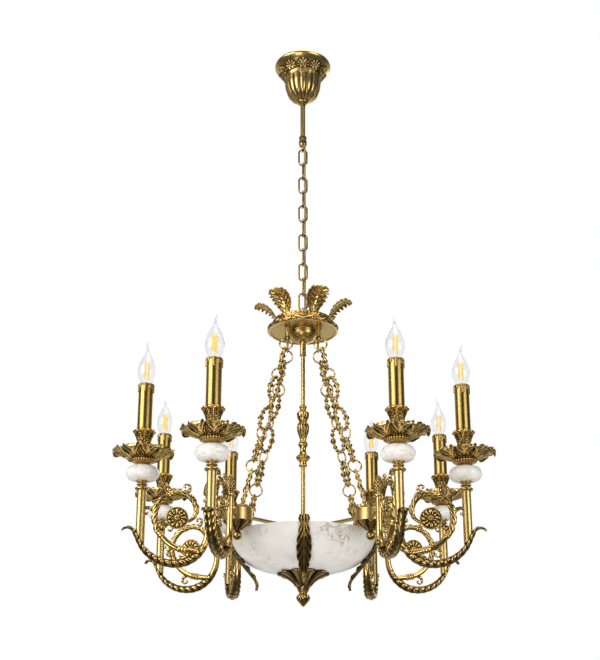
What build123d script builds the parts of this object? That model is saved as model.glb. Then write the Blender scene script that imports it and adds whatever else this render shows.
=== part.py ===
from build123d import *
import math
import os

# Eight-light brass and alabaster chandelier on a chain.
# Millimetres, +Z up. The origin is the centre of the canopy's face on the ceiling, so all else is below.
# The front is -Y. Parts that repeat round the axis are made once and copied.

# Ceiling group
canopy_radius = 61.5
canopy_height = 90.0
canopy_bell_radius = 39.0
canopy_wall = 2.4
bracket_length = 100.0
bracket_width = 24.0
bracket_thickness = 3.0
slot_spacing = 70.0
slot_length = 18.0
slot_width = 5.6
rod_radius = 5.25
rod_drop = 80.0
rod_nut_flats = 17.0
rod_nut_height = 8.0
collar_height = 8.0
collar_radius = 11.0
ferrule_height = 24.0
ferrule_radius = 8.4
terminal_size = (24.0, 14.0, 12.0)

# Main chain
link_count = 11
link_wire = 3.8
link_inner_length = 34.3
link_inner_width = 13.0
link_gap = 0.3
eye_radius = 7.0
crown_loop_radius = 8.5
cord_diameter = 4.0

# Crown dish
crown_radius = 73.5
crown_lip_radius = 62.0
crown_plate_radius = 56.0
crown_ring_height = 22.0
crown_cap_radius = 34.0
crown_cap_height = 9.0
dome_radius = 29.0
dome_depth = 22.0
crown_wall = 3.0
crown_leaf_count = 6
crown_leaf_turn = 22.0
crown_leaf_height = 58.0
crown_leaf_width = 36.0
leaf_thickness = 3.2
chain_eye_radius = 45.0
chain_eye_drop = 27.0
chain_eye_cup = (5.2, 11.0)

# Stem and baluster
stem_radius = 4.2
stem_ferrule_radius = 6.2
stem_ferrule_height = 30.0
upper_stem_length = 108.0
baluster_cap_height = 34.0
baluster_vase_height = 46.0
baluster_knop_height = 47.0
lower_stem_visible = 118.0
gadroon_count = 12

# Side chains
side_chain_count = 4
side_ring_radius = 12.8
side_ring_wire = 3.4
side_link_half = 27.0
side_link_half_width = 10.0
side_link_end_radius = 4.6
side_link_wire = 4.0
side_links_each = 4
side_eye_radius = 4.7
side_eye_wire = 3.0
hook_half_width = 9.0
side_gap = 0.5

# Hub, spokes and bosses
hub_radius = 45.0
hub_height = 12.0
spoke_radius = 3.6
boss_clearance = 4.5
boss_radius = 27.5
pendant_radius = 24.0
boss_height = 22.0
pendant_height = 18.0
boss_ball_radius = 8.6
boss_to_hub_drop = 1.0
arm_spread = 33.0

# Arms, measured along the arm from its boss
post_reach = 55.0
post_radius = 5.8
post_rise = 23.0
post_finial_height = 42.0
post_finial_radius = 8.4
bend_radius = 61.0
sweep_radius = 70.3
sweep_angle = 62.0
tail_length = 22.0
curl_radius = 12.0
curl_angle = 122.0
post_below_boss = 33.0
branch_thick = 15.5
branch_wide = 21.0
nipple_radius = 4.4
nipple_ball_radius = 7.0
candle_angle = 60.0
tube_radius = 8.3
scroll_spring = 40.0
scroll_heading = 8.0
scroll_lead = 28.7
scroll_arcs = ((62.0, 82.0), (43.0, 90.0), (31.0, 90.0), (22.0, 70.0))
scroll_sizes = (10.0, 10.0, 7.0, 6.6, 7.0, 5.0)
scroll_tie_radius = 2.6
rosette_radius = 20.4
rosette_thickness = 9.0
rosette_bearing = 16.0
petal_count = 8

# Candle stack, from the tube's collar up
tube_top_above_bend = 133.0
tube_collar_height = 17.0
tube_collar_radius = 12.0
ball_radius = 30.5
ball_seat_radius = 14.0
ball_height = 28.0
pan_cup_height = 17.0
pan_cup_radius = 22.0
pan_radius = 58.5
pan_rise = 18.0
pan_wall = 2.6
pan_lobes = 8
candle_cup_height = 48.0
candle_cup_radius = 20.0
sleeve_radius = 13.8
sleeve_wall = 1.0
sleeve_height = 102.5
cup_socket_depth = 12.0
drip_lengths = (15.0, 8.0, 18.0, 10.0, 13.0, 7.0, 16.0, 9.0)
holder_radius = 12.6
holder_height = 46.0
holder_below_top = 8.0
bulb_cap_radius = 6.8
bulb_cap_height = 24.0
bulb_radius = 17.5
bulb_height = 66.0
bulb_tip_length = 20.0
bulb_wall = 0.9
bulb_tip_turns = (200.0, 20.0, 60.0, 140.0, 250.0, 310.0, 100.0, 330.0)
filament_count = 4
filament_radius = 0.7
filament_length = 30.0

# Bowl and its fittings
bowl_radius = 141.0
bowl_wall = 7.0
bowl_rim_heading = -97.0
bowl_shoulder_radius = 73.0
bowl_shoulder_turn = 62.0
bowl_belly_radius = 173.0
bowl_belly_turn = 18.0
bowl_rim_below_hub = 12.0
bowl_leaf_count = 4
bowl_leaf_width = 30.0
bowl_leaf_rise = 13.0
bowl_leaf_hug = 33.0
bowl_leaf_straight = 52.0
bowl_leaf_curl_radius = 28.0
bowl_leaf_curl = 55.0
plate_radius = 49.0
plate_height = 34.0
plate_lobes = 10
finial_radius = 13.0
finial_height = 31.0

fit = 0.2


def turned(outline):
    # A solid of revolution: (r, z) is a straight step, (r mid, z mid, r, z) a round one.
    at = outline[0]
    edges = []
    for step in outline[1:] + outline[:1]:
        end = step[-2:]
        if len(step) == 4:
            edges.append(ThreePointArc((at[0], 0, at[1]), (step[0], 0, step[1]), (end[0], 0, end[1])))
        elif math.dist(at, end) > 1e-6:
            edges.append(Line((at[0], 0, at[1]), (end[0], 0, end[1])))
        at = end
    return revolve(make_face(edges), Axis.Z)


def rod(radius, low, high):
    # An upright rod on the axis between two heights.
    return Pos(0, 0, (low + high) / 2) * Cylinder(radius, high - low)


def arc_drop(radius, heading, turn):
    # How far an arc falls that turns right from a heading (degrees from +X towards +Z).
    return radius * (math.cos(math.radians(heading)) - math.cos(math.radians(heading - turn)))


def ring_xz(radius, wire):
    # A wire ring standing in the XZ plane.
    return Rot(90, 0, 0) * Torus(radius, wire / 2)


def ring_yz(radius, wire):
    # A wire ring standing in the YZ plane.
    return Rot(0, 90, 0) * Torus(radius, wire / 2)


def around(solid, count, turn=0.0):
    # Copies spaced evenly round the axis, the first turned from +X.
    return [Rot(0, 0, turn + 360 / count * i) * solid for i in range(count)]


def swept(edges, radius):
    # A round wire along joined edges.
    path = Wire(edges)
    section = Plane(origin=path @ 0, z_dir=path % 0) * Circle(radius)
    return sweep(section, path=path)


def tapered(edges, sizes):
    # A bar along joined edges with its width and thickness given at each joint.
    path = Wire(edges)
    joints = [edges[0] @ 0] + [edge @ 1 for edge in edges]
    headings = [edges[0] % 0] + [edge % 1 for edge in edges]
    sections = [
        Plane(origin=joint, x_dir=(0, 1, 0), z_dir=heading) * Ellipse(wide / 2, thick / 2)
        for joint, heading, (wide, thick) in zip(joints, headings, sizes)
    ]
    return sweep([section.face() for section in sections], path=path, multisection=True)


def save(node, *solids):
    # One file for a node, with each solid kept apart.
    flat = [solid for shape in solids for solid in shape.solids()]
    shape = flat[0] if len(flat) == 1 else Compound(children=flat)
    shape.label = node
    export_step(shape, f"parts/{node}.step")


os.makedirs("parts", exist_ok=True)

# The drums stand just outside the bowl
boss_reach = bowl_radius + boss_clearance + boss_radius

# Heights that the stack fixes
z_canopy_foot = -canopy_height
z_rod_foot = z_canopy_foot - collar_height - rod_drop
z_ferrule_foot = z_rod_foot - ferrule_height
z_eye = z_ferrule_foot - eye_radius + link_wire / 4
first_inner_top = z_eye - eye_radius + link_wire / 2 + link_gap
link_pitch = link_inner_length - link_gap
loop_inner_top = first_inner_top - link_count * link_pitch
z_loop = loop_inner_top - crown_loop_radius + link_wire / 2
z_cap_top = z_loop - crown_loop_radius - link_wire / 2 - 3.0
z_plate_top = z_cap_top - crown_cap_height
z_ring_foot = z_plate_top - crown_ring_height
z_dome_foot = z_ring_foot - dome_depth
z_stem_top = z_dome_foot - stem_ferrule_height
z_baluster_top = z_stem_top - upper_stem_length
z_vase_top = z_baluster_top - baluster_cap_height
z_knop_top = z_vase_top - baluster_vase_height
z_lower_stem = z_knop_top - baluster_knop_height
z_hub_top = z_lower_stem - lower_stem_visible
z_hub_foot = z_hub_top - hub_height
z_spoke = z_hub_foot + spoke_radius
z_boss = z_spoke - boss_to_hub_drop
z_bowl_rim = z_hub_foot - bowl_rim_below_hub
bowl_belly_heading = bowl_rim_heading - bowl_shoulder_turn
bowl_drop = arc_drop(bowl_shoulder_radius, bowl_rim_heading, bowl_shoulder_turn)
bowl_drop += arc_drop(bowl_belly_radius, bowl_belly_heading, bowl_belly_turn)
z_bowl_foot = z_bowl_rim - bowl_drop
z_plate_foot = z_bowl_foot - plate_height
z_tip = z_plate_foot - finial_height
z_post_foot = z_boss - post_below_boss
z_bend = z_post_foot - bend_radius
z_tube_top = z_bend + tube_top_above_bend


# Ceiling bracket: a slotted bar on the ceiling, with the rod's nut under it
bracket = Pos(0, 0, -bracket_thickness / 2) * Box(bracket_length, bracket_width, bracket_thickness)
bracket -= Cylinder(rod_radius, 4 * bracket_thickness)
for side in (-1, 1):
    slot = extrude(SlotOverall(slot_length, slot_width), 4 * bracket_thickness, both=True)
    bracket -= Pos(side * slot_spacing / 2, 0, 0) * slot
save("ceiling_bracket", bracket)

z_nut_foot = -bracket_thickness - rod_nut_height
hexagon = RegularPolygon(rod_nut_flats / 2, 6, major_radius=False)
nut = Pos(0, 0, z_nut_foot) * extrude(hexagon, rod_nut_height)
save("rod_nut", nut - rod(rod_radius, z_nut_foot - 1, 0))

block_x, block_y, block_z = terminal_size
block = Pos(0, rod_nut_flats / 2 + block_y / 2 + 1, -bracket_thickness - block_z / 2)
terminal = Box(*terminal_size)
terminal -= [Pos(x, 0, 0) * Rot(90, 0, 0) * Cylinder(1.6, 2 * block_y) for x in (-7, 0, 7)]
save("terminal_block", block * terminal)

# Canopy: a bell below a flared rim, open at the ceiling
bell_top = -0.42 * canopy_height
rim_lip = 9.0
foot_radius = collar_radius + 4
outer = [
    (canopy_radius - 4, 0),
    (canopy_radius, -rim_lip / 2, canopy_radius - 3, -rim_lip),
    (canopy_bell_radius + 5, bell_top + 14, canopy_bell_radius - 1, bell_top),
    (canopy_bell_radius, bell_top - 16, 0.62 * canopy_bell_radius, z_canopy_foot + 9),
    (foot_radius, z_canopy_foot),
]
inner = [
    (rod_radius, z_canopy_foot),
    (rod_radius, z_canopy_foot + canopy_wall),
    (foot_radius - canopy_wall, z_canopy_foot + canopy_wall + 1),
    (0.62 * canopy_bell_radius - canopy_wall, z_canopy_foot + 11),
    (canopy_bell_radius - canopy_wall, bell_top - 16, canopy_bell_radius - 1 - canopy_wall, bell_top),
    (canopy_bell_radius + 5 - canopy_wall, bell_top + 15, canopy_radius - 4 - canopy_wall, -rim_lip),
    (canopy_radius - 4 - canopy_wall, 0),
]
save("canopy", turned(outer + inner))

collar_foot = z_canopy_foot - collar_height
collar = turned([
    (rod_radius, z_canopy_foot),
    (collar_radius, z_canopy_foot),
    (collar_radius + 1.5, z_canopy_foot - 2.5, collar_radius, z_canopy_foot - 5),
    (rod_radius + 2.5, collar_foot),
    (rod_radius, collar_foot),
])
save("canopy_collar", collar)
save("down_rod", rod(rod_radius, z_rod_foot, -0.5))

# Ferrule on the rod's foot, with the eye that carries the chain
neck = ferrule_radius - 2.4
ferrule = turned([
    (0, z_rod_foot),
    (rod_radius + 1.2, z_rod_foot),
    (ferrule_radius, z_rod_foot - 3),
    (ferrule_radius, z_rod_foot - 6),
    (neck, z_rod_foot - 9, ferrule_radius, z_rod_foot - 12),
    (ferrule_radius, z_ferrule_foot + 4),
    (ferrule_radius - 1, z_ferrule_foot),
    (0, z_ferrule_foot),
])
save("rod_ferrule", ferrule + Pos(0, 0, z_eye) * ring_yz(eye_radius, link_wire))


# Main chain: oval wire links, each turned a quarter from the last
def chain_link():
    wide = (link_inner_width + link_wire) / 2
    long = (link_inner_length + link_wire) / 2 - wide
    edges = [
        Line((wide, 0, -long), (wide, 0, long)),
        ThreePointArc((wide, 0, long), (0, 0, long + wide), (-wide, 0, long)),
        Line((-wide, 0, long), (-wide, 0, -long)),
        ThreePointArc((-wide, 0, -long), (0, 0, -long - wide), (wide, 0, -long)),
    ]
    return swept(edges, link_wire / 2)


link_middles = [first_inner_top - link_inner_length / 2 - i * link_pitch for i in range(link_count)]
for i, middle in enumerate(link_middles):
    quarter = 0 if i % 2 == 0 else 90
    save(f"chain_link_{i + 1:02d}", Pos(0, 0, middle) * Rot(0, 0, quarter) * chain_link())

# Supply cord: runs down beside the edge-on links and changes sides through each face-on link
cord_out = link_wire / 2 + cord_diameter / 2 + 0.3
cord_cross = link_inner_length / 4
lay = cord_out
cord_points = [(cord_out, -lay, z_ferrule_foot)]
for middle in link_middles[::2]:
    cord_points.append((cord_out, -lay, middle + cord_cross))
    cord_points.append((cord_out, lay, middle - cord_cross))
    lay = -lay
cord_points.append((cord_out, -lay, z_cap_top))
cord_path = FilletPolyline(*cord_points, radius=5 * cord_diameter)
cord = sweep(Plane(origin=cord_path @ 0, z_dir=cord_path % 0) * Circle(cord_diameter / 2), path=cord_path)
print("cord length", round(cord_path.length, 1))
save("supply_cord", cord)

# Crown: loop, cap, moulded ring, lower dome
loop = Pos(0, 0, z_loop) * ring_yz(crown_loop_radius, link_wire)
loop += rod(0.8 * link_wire, z_cap_top, z_loop - crown_loop_radius)
save("crown_loop", loop)

cap = turned([
    (0, z_cap_top),
    (12, z_cap_top),
    (16, z_cap_top - 5, crown_cap_radius, z_plate_top + 2),
    (crown_cap_radius, z_plate_top),
    (0, z_plate_top),
])
save("crown_cap", cap)

rim_in = crown_radius - 2 * crown_wall
z_dish = z_ring_foot + crown_wall / 2
ring = turned([
    (0, z_plate_top),
    (crown_plate_radius, z_plate_top),
    (crown_lip_radius, z_plate_top - 1, crown_lip_radius - 2, z_plate_top - 4),
    (crown_lip_radius + 1, z_plate_top - 9, crown_radius - 3, z_plate_top - 12),
    (crown_radius, z_plate_top - 16, crown_radius - 3, z_ring_foot),
    (rim_in, z_ring_foot),
    (rim_in, z_dish + crown_wall),
    (crown_plate_radius, z_dish + crown_wall),
    (crown_plate_radius, z_plate_top - crown_wall),
    (0, z_plate_top - crown_wall),
])
save("crown_ring", ring)

dome_neck = stem_ferrule_radius + 4
dome_belly = z_dome_foot + 0.4 * dome_depth
dome = turned([
    (rim_in, z_dish),
    (dome_radius, z_dish),
    (0.86 * dome_radius, dome_belly, dome_neck, z_dome_foot),
    (0, z_dome_foot),
    (0, z_dome_foot + crown_wall),
    (dome_neck, z_dome_foot + crown_wall),
    (0.86 * dome_radius - crown_wall, dome_belly + crown_wall / 2,
     dome_radius - crown_wall, z_dish + crown_wall),
    (rim_in, z_dish + crown_wall),
])
save("crown_dome", dome)


def bent(start, heading, steps):
    # Joined edges in the XZ plane: (length,) is a straight, (radius, turn) an arc; headings in degrees from +X.
    edges = []
    at = start
    for step in steps:
        way = (math.cos(math.radians(heading)), math.sin(math.radians(heading)))
        if len(step) == 1:
            edge = Line(at, (at[0] + step[0] * way[0], at[1] + step[0] * way[1]))
        else:
            edge = JernArc(at, way, step[0], step[1])
            heading += step[1]
        end = edge @ 1
        at = (end.X, end.Y)
        edges.append(Plane.XZ * edge)
    return edges


# An acanthus leaf: a bent sheet cut to a lobed outline
def lobed_outline(width, length, pairs):
    # The leaf runs along +Y from the origin, with pairs of pointed lobes that shrink towards the tip.
    shape = Pos(0, 0.47 * length) * Ellipse(0.27 * width, 0.5 * length)
    for i in range(pairs):
        share = (i + 0.5) / pairs
        half = 0.5 * width * math.sin(math.pi * (0.3 + 0.62 * share))
        lobe = Ellipse(0.62 * half, 0.42 * length / pairs)
        for way in (-1, 1):
            shape += Pos(way * 0.42 * half, (0.1 + 0.74 * share) * length) * Rot(0, 0, way * 38) * lobe
    return shape


def acanthus(edges, width, pairs, thickness):
    path = Wire(edges)
    section = Plane(origin=path @ 0, x_dir=(0, 1, 0), z_dir=path % 0) * Rectangle(width, thickness)
    sheet = sweep(section, path=path)
    chord = path @ 1 - path @ 0
    front = Plane(origin=path @ 0, x_dir=(0, 1, 0), z_dir=(chord.Z, 0, -chord.X))
    cutter = extrude(front * lobed_outline(width, chord.length, pairs), 2 * width, both=True)
    return sheet & cutter


# Crown leaves stand on the plate's edge and curl outward
crown_leaf_path = bent(
    (crown_plate_radius - leaf_thickness, z_plate_top), 78,
    [(0.95 * crown_leaf_height, -62), (0.22 * crown_leaf_height, -70)],
)
crown_leaf = acanthus(crown_leaf_path, crown_leaf_width, 4, leaf_thickness)
crown_leaf -= rod(crown_radius, z_plate_top - crown_ring_height, z_plate_top)
save("crown_leaves", *around(crown_leaf, crown_leaf_count, crown_leaf_turn - 90))

# Stem: ferrule, two tubes, and the turned baluster between them
stem_ferrule = turned([
    (0, z_dome_foot),
    (stem_ferrule_radius + 2, z_dome_foot),
    (stem_ferrule_radius, z_dome_foot - 4),
    (stem_ferrule_radius, z_stem_top + 3),
    (stem_ferrule_radius + 1, z_stem_top + 1.5, stem_ferrule_radius, z_stem_top),
    (0, z_stem_top),
])
save("stem_ferrule", stem_ferrule)
upper_stem = rod(stem_radius, z_baluster_top, z_stem_top)
lower_stem = rod(stem_radius, z_bowl_foot, z_lower_stem)
save("stem_tubes", upper_stem, lower_stem)

cap_step = baluster_cap_height / 8
baluster_cap = turned([
    (0, z_baluster_top),
    (5.5, z_baluster_top),
    (8.3, z_baluster_top - cap_step / 2, 7.6, z_baluster_top - cap_step),
    (5.6, z_baluster_top - 1.5 * cap_step, 6.6, z_baluster_top - 2 * cap_step),
    (9, z_baluster_top - 3 * cap_step, 12.2, z_baluster_top - 3.4 * cap_step),
    (12.8, z_baluster_top - 4 * cap_step),
    (11.4, z_baluster_top - 6 * cap_step, 7.2, z_vase_top),
    (0, z_vase_top),
])
save("baluster_cap", baluster_cap)

vase_top_radius = 7.2
vase_foot_radius = 6.2
vase_belly = (12.4, z_vase_top - 0.32 * baluster_vase_height)
vase_neck = (vase_foot_radius, z_knop_top + 6)
vase = turned([
    (0, z_vase_top),
    (vase_top_radius, z_vase_top),
    (*vase_belly, *vase_neck),
    (vase_foot_radius + 2.5, z_knop_top + 3, vase_foot_radius, z_knop_top),
    (0, z_knop_top),
])
flank = Plane.XZ * ThreePointArc((vase_top_radius, z_vase_top), vase_belly, vase_neck)
groove = Pos(*flank.arc_center) * ring_xz(flank.radius + 0.4, 2.6)
groove &= Pos(0, 0, (z_vase_top + z_knop_top) / 2 + 3) * Box(80, 10, baluster_vase_height - 12)
for cut in around(groove, gadroon_count):
    vase -= cut
save("baluster_vase", vase)

knop_step = baluster_knop_height / 10
baluster_knop = turned([
    (0, z_knop_top),
    (9.6, z_knop_top),
    (10.4, z_knop_top - 0.5 * knop_step, 9.2, z_knop_top - knop_step),
    (5.6, z_knop_top - 3 * knop_step, 7.4, z_knop_top - 4.6 * knop_step),
    (12, z_knop_top - 5.4 * knop_step),
    (14.4, z_knop_top - 6.2 * knop_step, 12, z_knop_top - 7 * knop_step),
    (8, z_knop_top - 7.8 * knop_step, 7, z_knop_top - 9 * knop_step),
    (9, z_knop_top - 9.4 * knop_step, 7, z_lower_stem),
    (0, z_lower_stem),
])
save("baluster_knop", baluster_knop)

# Hub: a shallow dish on the stem, with a spoke to each boss
hub_wall = 5.0
hub = turned([
    (stem_radius + fit, z_hub_top + 8),
    (10, z_hub_top + 8),
    (12, z_hub_top + 1, 20, z_hub_top),
    (hub_radius - 3, z_hub_top - 1),
    (hub_radius + 1, z_hub_top - hub_height / 2, hub_radius - 3, z_hub_foot),
    (hub_radius - hub_wall - 2, z_hub_foot),
    (hub_radius - hub_wall - 2, z_hub_top - hub_wall),
    (stem_radius + fit, z_hub_top - hub_wall),
])
save("frame_hub", hub)

boss_turns = [45 + 90 * i for i in range(side_chain_count)]
boss_top = z_boss + boss_height / 2
boss_foot = z_boss - boss_height / 2
drum_shape = Pos(boss_reach, 0, z_boss) * Cylinder(boss_radius, boss_height)
spoke = Pos((hub_radius + boss_reach) / 2 - 2, 0, z_spoke) * Rot(0, 90, 0) * Cylinder(
    spoke_radius, boss_reach - hub_radius)
spoke = spoke - hub - drum_shape
save("frame_spokes", *[Rot(0, 0, turn) * spoke for turn in boss_turns])

# Bosses: a brass drum with an eye on top, a leaf pendant and a ball below
drum_wall = 3.0
hook_eye = (boss_reach - 9, boss_top + side_eye_radius + 0.5)
drum = drum_shape - Pos(boss_reach, 0, z_boss - drum_wall) * Cylinder(boss_radius - drum_wall, boss_height)
drum += Pos(hook_eye[0], 0, hook_eye[1]) * ring_xz(side_eye_radius, side_eye_wire)
save("boss_drums", *[Rot(0, 0, turn) * drum for turn in boss_turns])

pendant_foot = boss_foot - pendant_height
pendant = Pos(boss_reach, 0, 0) * turned([
    (0, boss_foot),
    (pendant_radius, boss_foot),
    (pendant_radius, boss_foot - 2),
    (0.62 * pendant_radius, boss_foot - 0.5 * pendant_height, 4, pendant_foot),
    (0, pendant_foot),
])
save("boss_pendants", *[Rot(0, 0, turn) * pendant for turn in boss_turns])
boss_ball = Pos(boss_reach, 0, pendant_foot - boss_ball_radius + 0.6) * Sphere(boss_ball_radius)
boss_ball -= pendant
save("boss_balls", *[Rot(0, 0, turn) * boss_ball for turn in boss_turns])

# Side chains: from an eye under the dome to the eye on each boss, rings and beaded links by turns
top_eye = (chain_eye_radius, z_ring_foot - chain_eye_drop)


def chain_eye(side):
    # An eye on a short shank under a cup, square to the ring that it carries.
    eye = Rot(0, 0, 90 + 45 * side) * ring_xz(side_eye_radius, side_eye_wire)
    eye = Pos(top_eye[0], 0, top_eye[1]) * eye
    shank = rod(2.2, top_eye[1] + side_eye_radius, z_dish)
    cup = rod(chain_eye_cup[0], z_dish - chain_eye_cup[1], z_dish)
    return eye + Pos(top_eye[0], 0, 0) * (shank + cup)


chain_sides = [1 if i % 2 else -1 for i in range(side_chain_count)]
save("chain_eyes", *[Rot(0, 0, turn) * chain_eye(side) for turn, side in zip(boss_turns, chain_sides)])


def beaded_link():
    # A slim oval loop in the XZ plane with three beads on each side.
    end = side_link_half - side_link_end_radius
    grow = side_link_half_width - side_link_end_radius
    back = (end * end - grow * grow) / (2 * grow)
    big = back + side_link_half_width
    lean = math.atan2(end, back)
    tx, tz = big * math.cos(lean) - back, big * math.sin(lean)
    edges = [
        ThreePointArc((tx, 0, -tz), (side_link_half_width, 0, 0), (tx, 0, tz)),
        ThreePointArc((tx, 0, tz), (0, 0, side_link_half), (-tx, 0, tz)),
        ThreePointArc((-tx, 0, tz), (-side_link_half_width, 0, 0), (-tx, 0, -tz)),
        ThreePointArc((-tx, 0, -tz), (0, 0, -side_link_half), (tx, 0, -tz)),
    ]
    loop = swept(edges, side_link_wire / 2)
    for way in (-1, 1):
        loop += Pos(way * side_link_half_width, 0, 0) * Sphere(1.15 * side_link_wire)
        for up in (-1, 1):
            loop += Pos(way * 0.78 * side_link_half_width, 0, up * 0.45 * side_link_half) * Sphere(
                0.85 * side_link_wire)
    return loop


def oval_hook(half):
    # The long plain loop at the chain's foot, in the XZ plane.
    straight = half - hook_half_width
    edges = [
        Line((hook_half_width, 0, -straight), (hook_half_width, 0, straight)),
        ThreePointArc((hook_half_width, 0, straight), (0, 0, half), (-hook_half_width, 0, straight)),
        Line((-hook_half_width, 0, straight), (-hook_half_width, 0, -straight)),
        ThreePointArc((-hook_half_width, 0, -straight), (0, 0, -half), (hook_half_width, 0, -straight)),
    ]
    return swept(edges, side_ring_wire / 2)


chain_run = (hook_eye[0] - top_eye[0], hook_eye[1] - top_eye[1])
chain_length = math.hypot(*chain_run)
eye_to_ring = side_eye_radius + side_ring_radius - (side_eye_wire + side_ring_wire) / 2 - side_gap
ring_to_link = side_ring_radius + side_link_half - (side_ring_wire + side_link_wire) / 2 - side_gap
ring_to_hook = side_ring_radius - side_ring_wire - side_gap
hook_to_eye = side_eye_radius - (side_eye_wire + side_ring_wire) / 2 - side_gap
hook_start = eye_to_ring + 2 * side_links_each * ring_to_link + ring_to_hook
hook_half = (chain_length - hook_start - hook_to_eye) / 2
ring_turns = (0, 20, 75, -50, 10)
link_turns = (85, -40, 10, 70)
hook_turn = 75


def on_chain(distance, turn, side):
    # The place of one chain piece, down the run and turned about it.
    share = distance / chain_length
    middle = (top_eye[0] + share * chain_run[0], 0, top_eye[1] + share * chain_run[1])
    down = Plane(origin=middle, x_dir=(0, 1, 0), z_dir=(-chain_run[0], 0, -chain_run[1]))
    return down.location * Rot(0, 0, 90 + side * (45 + turn))


rings = []
links = []
hooks = []
for boss_turn, side in zip(boss_turns, chain_sides):
    for j in range(side_links_each + 1):
        place = on_chain(eye_to_ring + 2 * j * ring_to_link, ring_turns[j % len(ring_turns)], side)
        rings.append(Rot(0, 0, boss_turn) * place * ring_xz(side_ring_radius, side_ring_wire))
    for j in range(side_links_each):
        place = on_chain(eye_to_ring + (2 * j + 1) * ring_to_link, link_turns[j % len(link_turns)], side)
        links.append(Rot(0, 0, boss_turn) * place * beaded_link())
    place = on_chain(chain_length - hook_to_eye - hook_half, hook_turn, side)
    hooks.append(Rot(0, 0, boss_turn) * place * oval_hook(hook_half))
save("side_chain_rings", *rings)
save("side_chain_links", *links)
save("side_chain_hooks", *hooks)
print("side chain", round(chain_length, 1), "hook half", round(hook_half, 1))

# Arms: two on each boss, in upright planes through the boss's axis
arm_places = [
    Rot(0, 0, turn) * Pos(boss_reach, 0, 0) * Rot(0, 0, way * arm_spread)
    for turn in boss_turns
    for way in (-1, 1)
]


def on_arms(solid):
    return [place * solid for place in arm_places]


z_post_top = z_boss + post_rise
branch_edges = bent(
    (post_reach, z_post_foot), -90,
    [(bend_radius, 90), (sweep_radius, sweep_angle), (tail_length,), (curl_radius, -curl_angle)],
)
branch = tapered(branch_edges, [
    (2 * post_radius, 2 * post_radius),
    (branch_wide, branch_thick),
    (0.88 * branch_wide, 0.82 * branch_thick),
    (0.8 * branch_wide, 0.6 * branch_thick),
    (0.5 * branch_wide, 0.26 * branch_thick),
])
save("arm_branches", *on_arms(branch))

post = Pos(post_reach, 0, 0) * rod(post_radius, z_post_foot, z_post_top)
save("arm_posts", *on_arms(post))
nipple = Pos(post_reach / 2, 0, z_boss) * Rot(0, 90, 0) * Cylinder(nipple_radius, post_reach)
nipple += Pos((boss_radius + post_reach - post_radius) / 2, 0, z_boss) * Sphere(nipple_ball_radius)
nipple -= Pos(0, 0, z_boss) * Cylinder(boss_radius, 2 * boss_height)
nipple -= Pos(post_reach, 0, z_boss) * Cylinder(post_radius, 2 * boss_height)
nipple = min(nipple.solids(), key=lambda solid: abs(solid.center().X - post_reach + post_radius))
save("arm_nipples", *on_arms(nipple))

acorn_foot = z_post_top + 0.3 * post_finial_height
post_finial = Pos(post_reach, 0, 0) * turned([
    (0, z_post_top),
    (post_finial_radius, z_post_top),
    (post_finial_radius + 1.2, z_post_top + 2, post_finial_radius, z_post_top + 4),
    (post_radius - 1, z_post_top + 7, 0.7 * post_finial_radius, acorn_foot - 2),
    (post_finial_radius, acorn_foot),
    (1.08 * post_finial_radius, acorn_foot + 0.28 * post_finial_height,
     0.3 * post_finial_radius, z_post_top + 0.93 * post_finial_height),
    (0, z_post_top + post_finial_height),
])
save("post_finials", *on_arms(post_finial))

candle_reach = post_reach + bend_radius + sweep_radius * math.sin(math.radians(candle_angle))
tube_foot = z_bend + sweep_radius * (1 - math.cos(math.radians(candle_angle)))
tube = Pos(candle_reach, 0, 0) * rod(tube_radius, tube_foot, z_tube_top)
tube = max((tube - branch).solids(), key=lambda solid: solid.volume)
save("candle_tubes", *on_arms(tube))

# Scroll: springs from the branch, winds in to a rosette and is tied to the candle tube
spring = (
    post_reach + bend_radius * (1 - math.cos(math.radians(scroll_spring))),
    z_post_foot - bend_radius * math.sin(math.radians(scroll_spring)),
)
scroll_edges = bent(spring, scroll_heading, [(scroll_lead,), *scroll_arcs])
scroll = tapered(scroll_edges, [(size, size) for size in scroll_sizes])
outermost = scroll_edges[1] @ 1
tie = Pos((outermost.X + candle_reach) / 2, 0, outermost.Z) * Rot(0, 90, 0) * Cylinder(
    scroll_tie_radius, candle_reach - outermost.X)
scroll = scroll + tie - branch - Pos(candle_reach, 0, 0) * rod(tube_radius, tube_foot, z_tube_top)
scroll = max(scroll.solids(), key=lambda solid: solid.volume)

scroll_end = scroll_edges[-1] @ 1
rosette_middle = (
    scroll_end.X + rosette_radius * math.cos(math.radians(rosette_bearing)),
    scroll_end.Z + rosette_radius * math.sin(math.radians(rosette_bearing)),
)
half = rosette_thickness / 2
rosette = turned([
    (0, -half),
    (0.3 * rosette_radius, -half),
    (0.5 * rosette_radius, -0.35 * half),
    (0.9 * rosette_radius, -0.6 * half),
    (rosette_radius, 0, 0.9 * rosette_radius, 0.6 * half),
    (0.5 * rosette_radius, 0.35 * half),
    (0.3 * rosette_radius, half),
    (0, half),
])
for petal in around(Pos(0.62 * rosette_radius, 0, 0) * Sphere(0.22 * rosette_radius), petal_count):
    rosette += petal
rosette = Pos(rosette_middle[0], 0, rosette_middle[1]) * Rot(90, 0, 0) * rosette
scroll = max((scroll - rosette).solids(), key=lambda solid: solid.volume)
save("scroll_stems", *on_arms(scroll))
save("rosettes", *on_arms(rosette))

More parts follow.
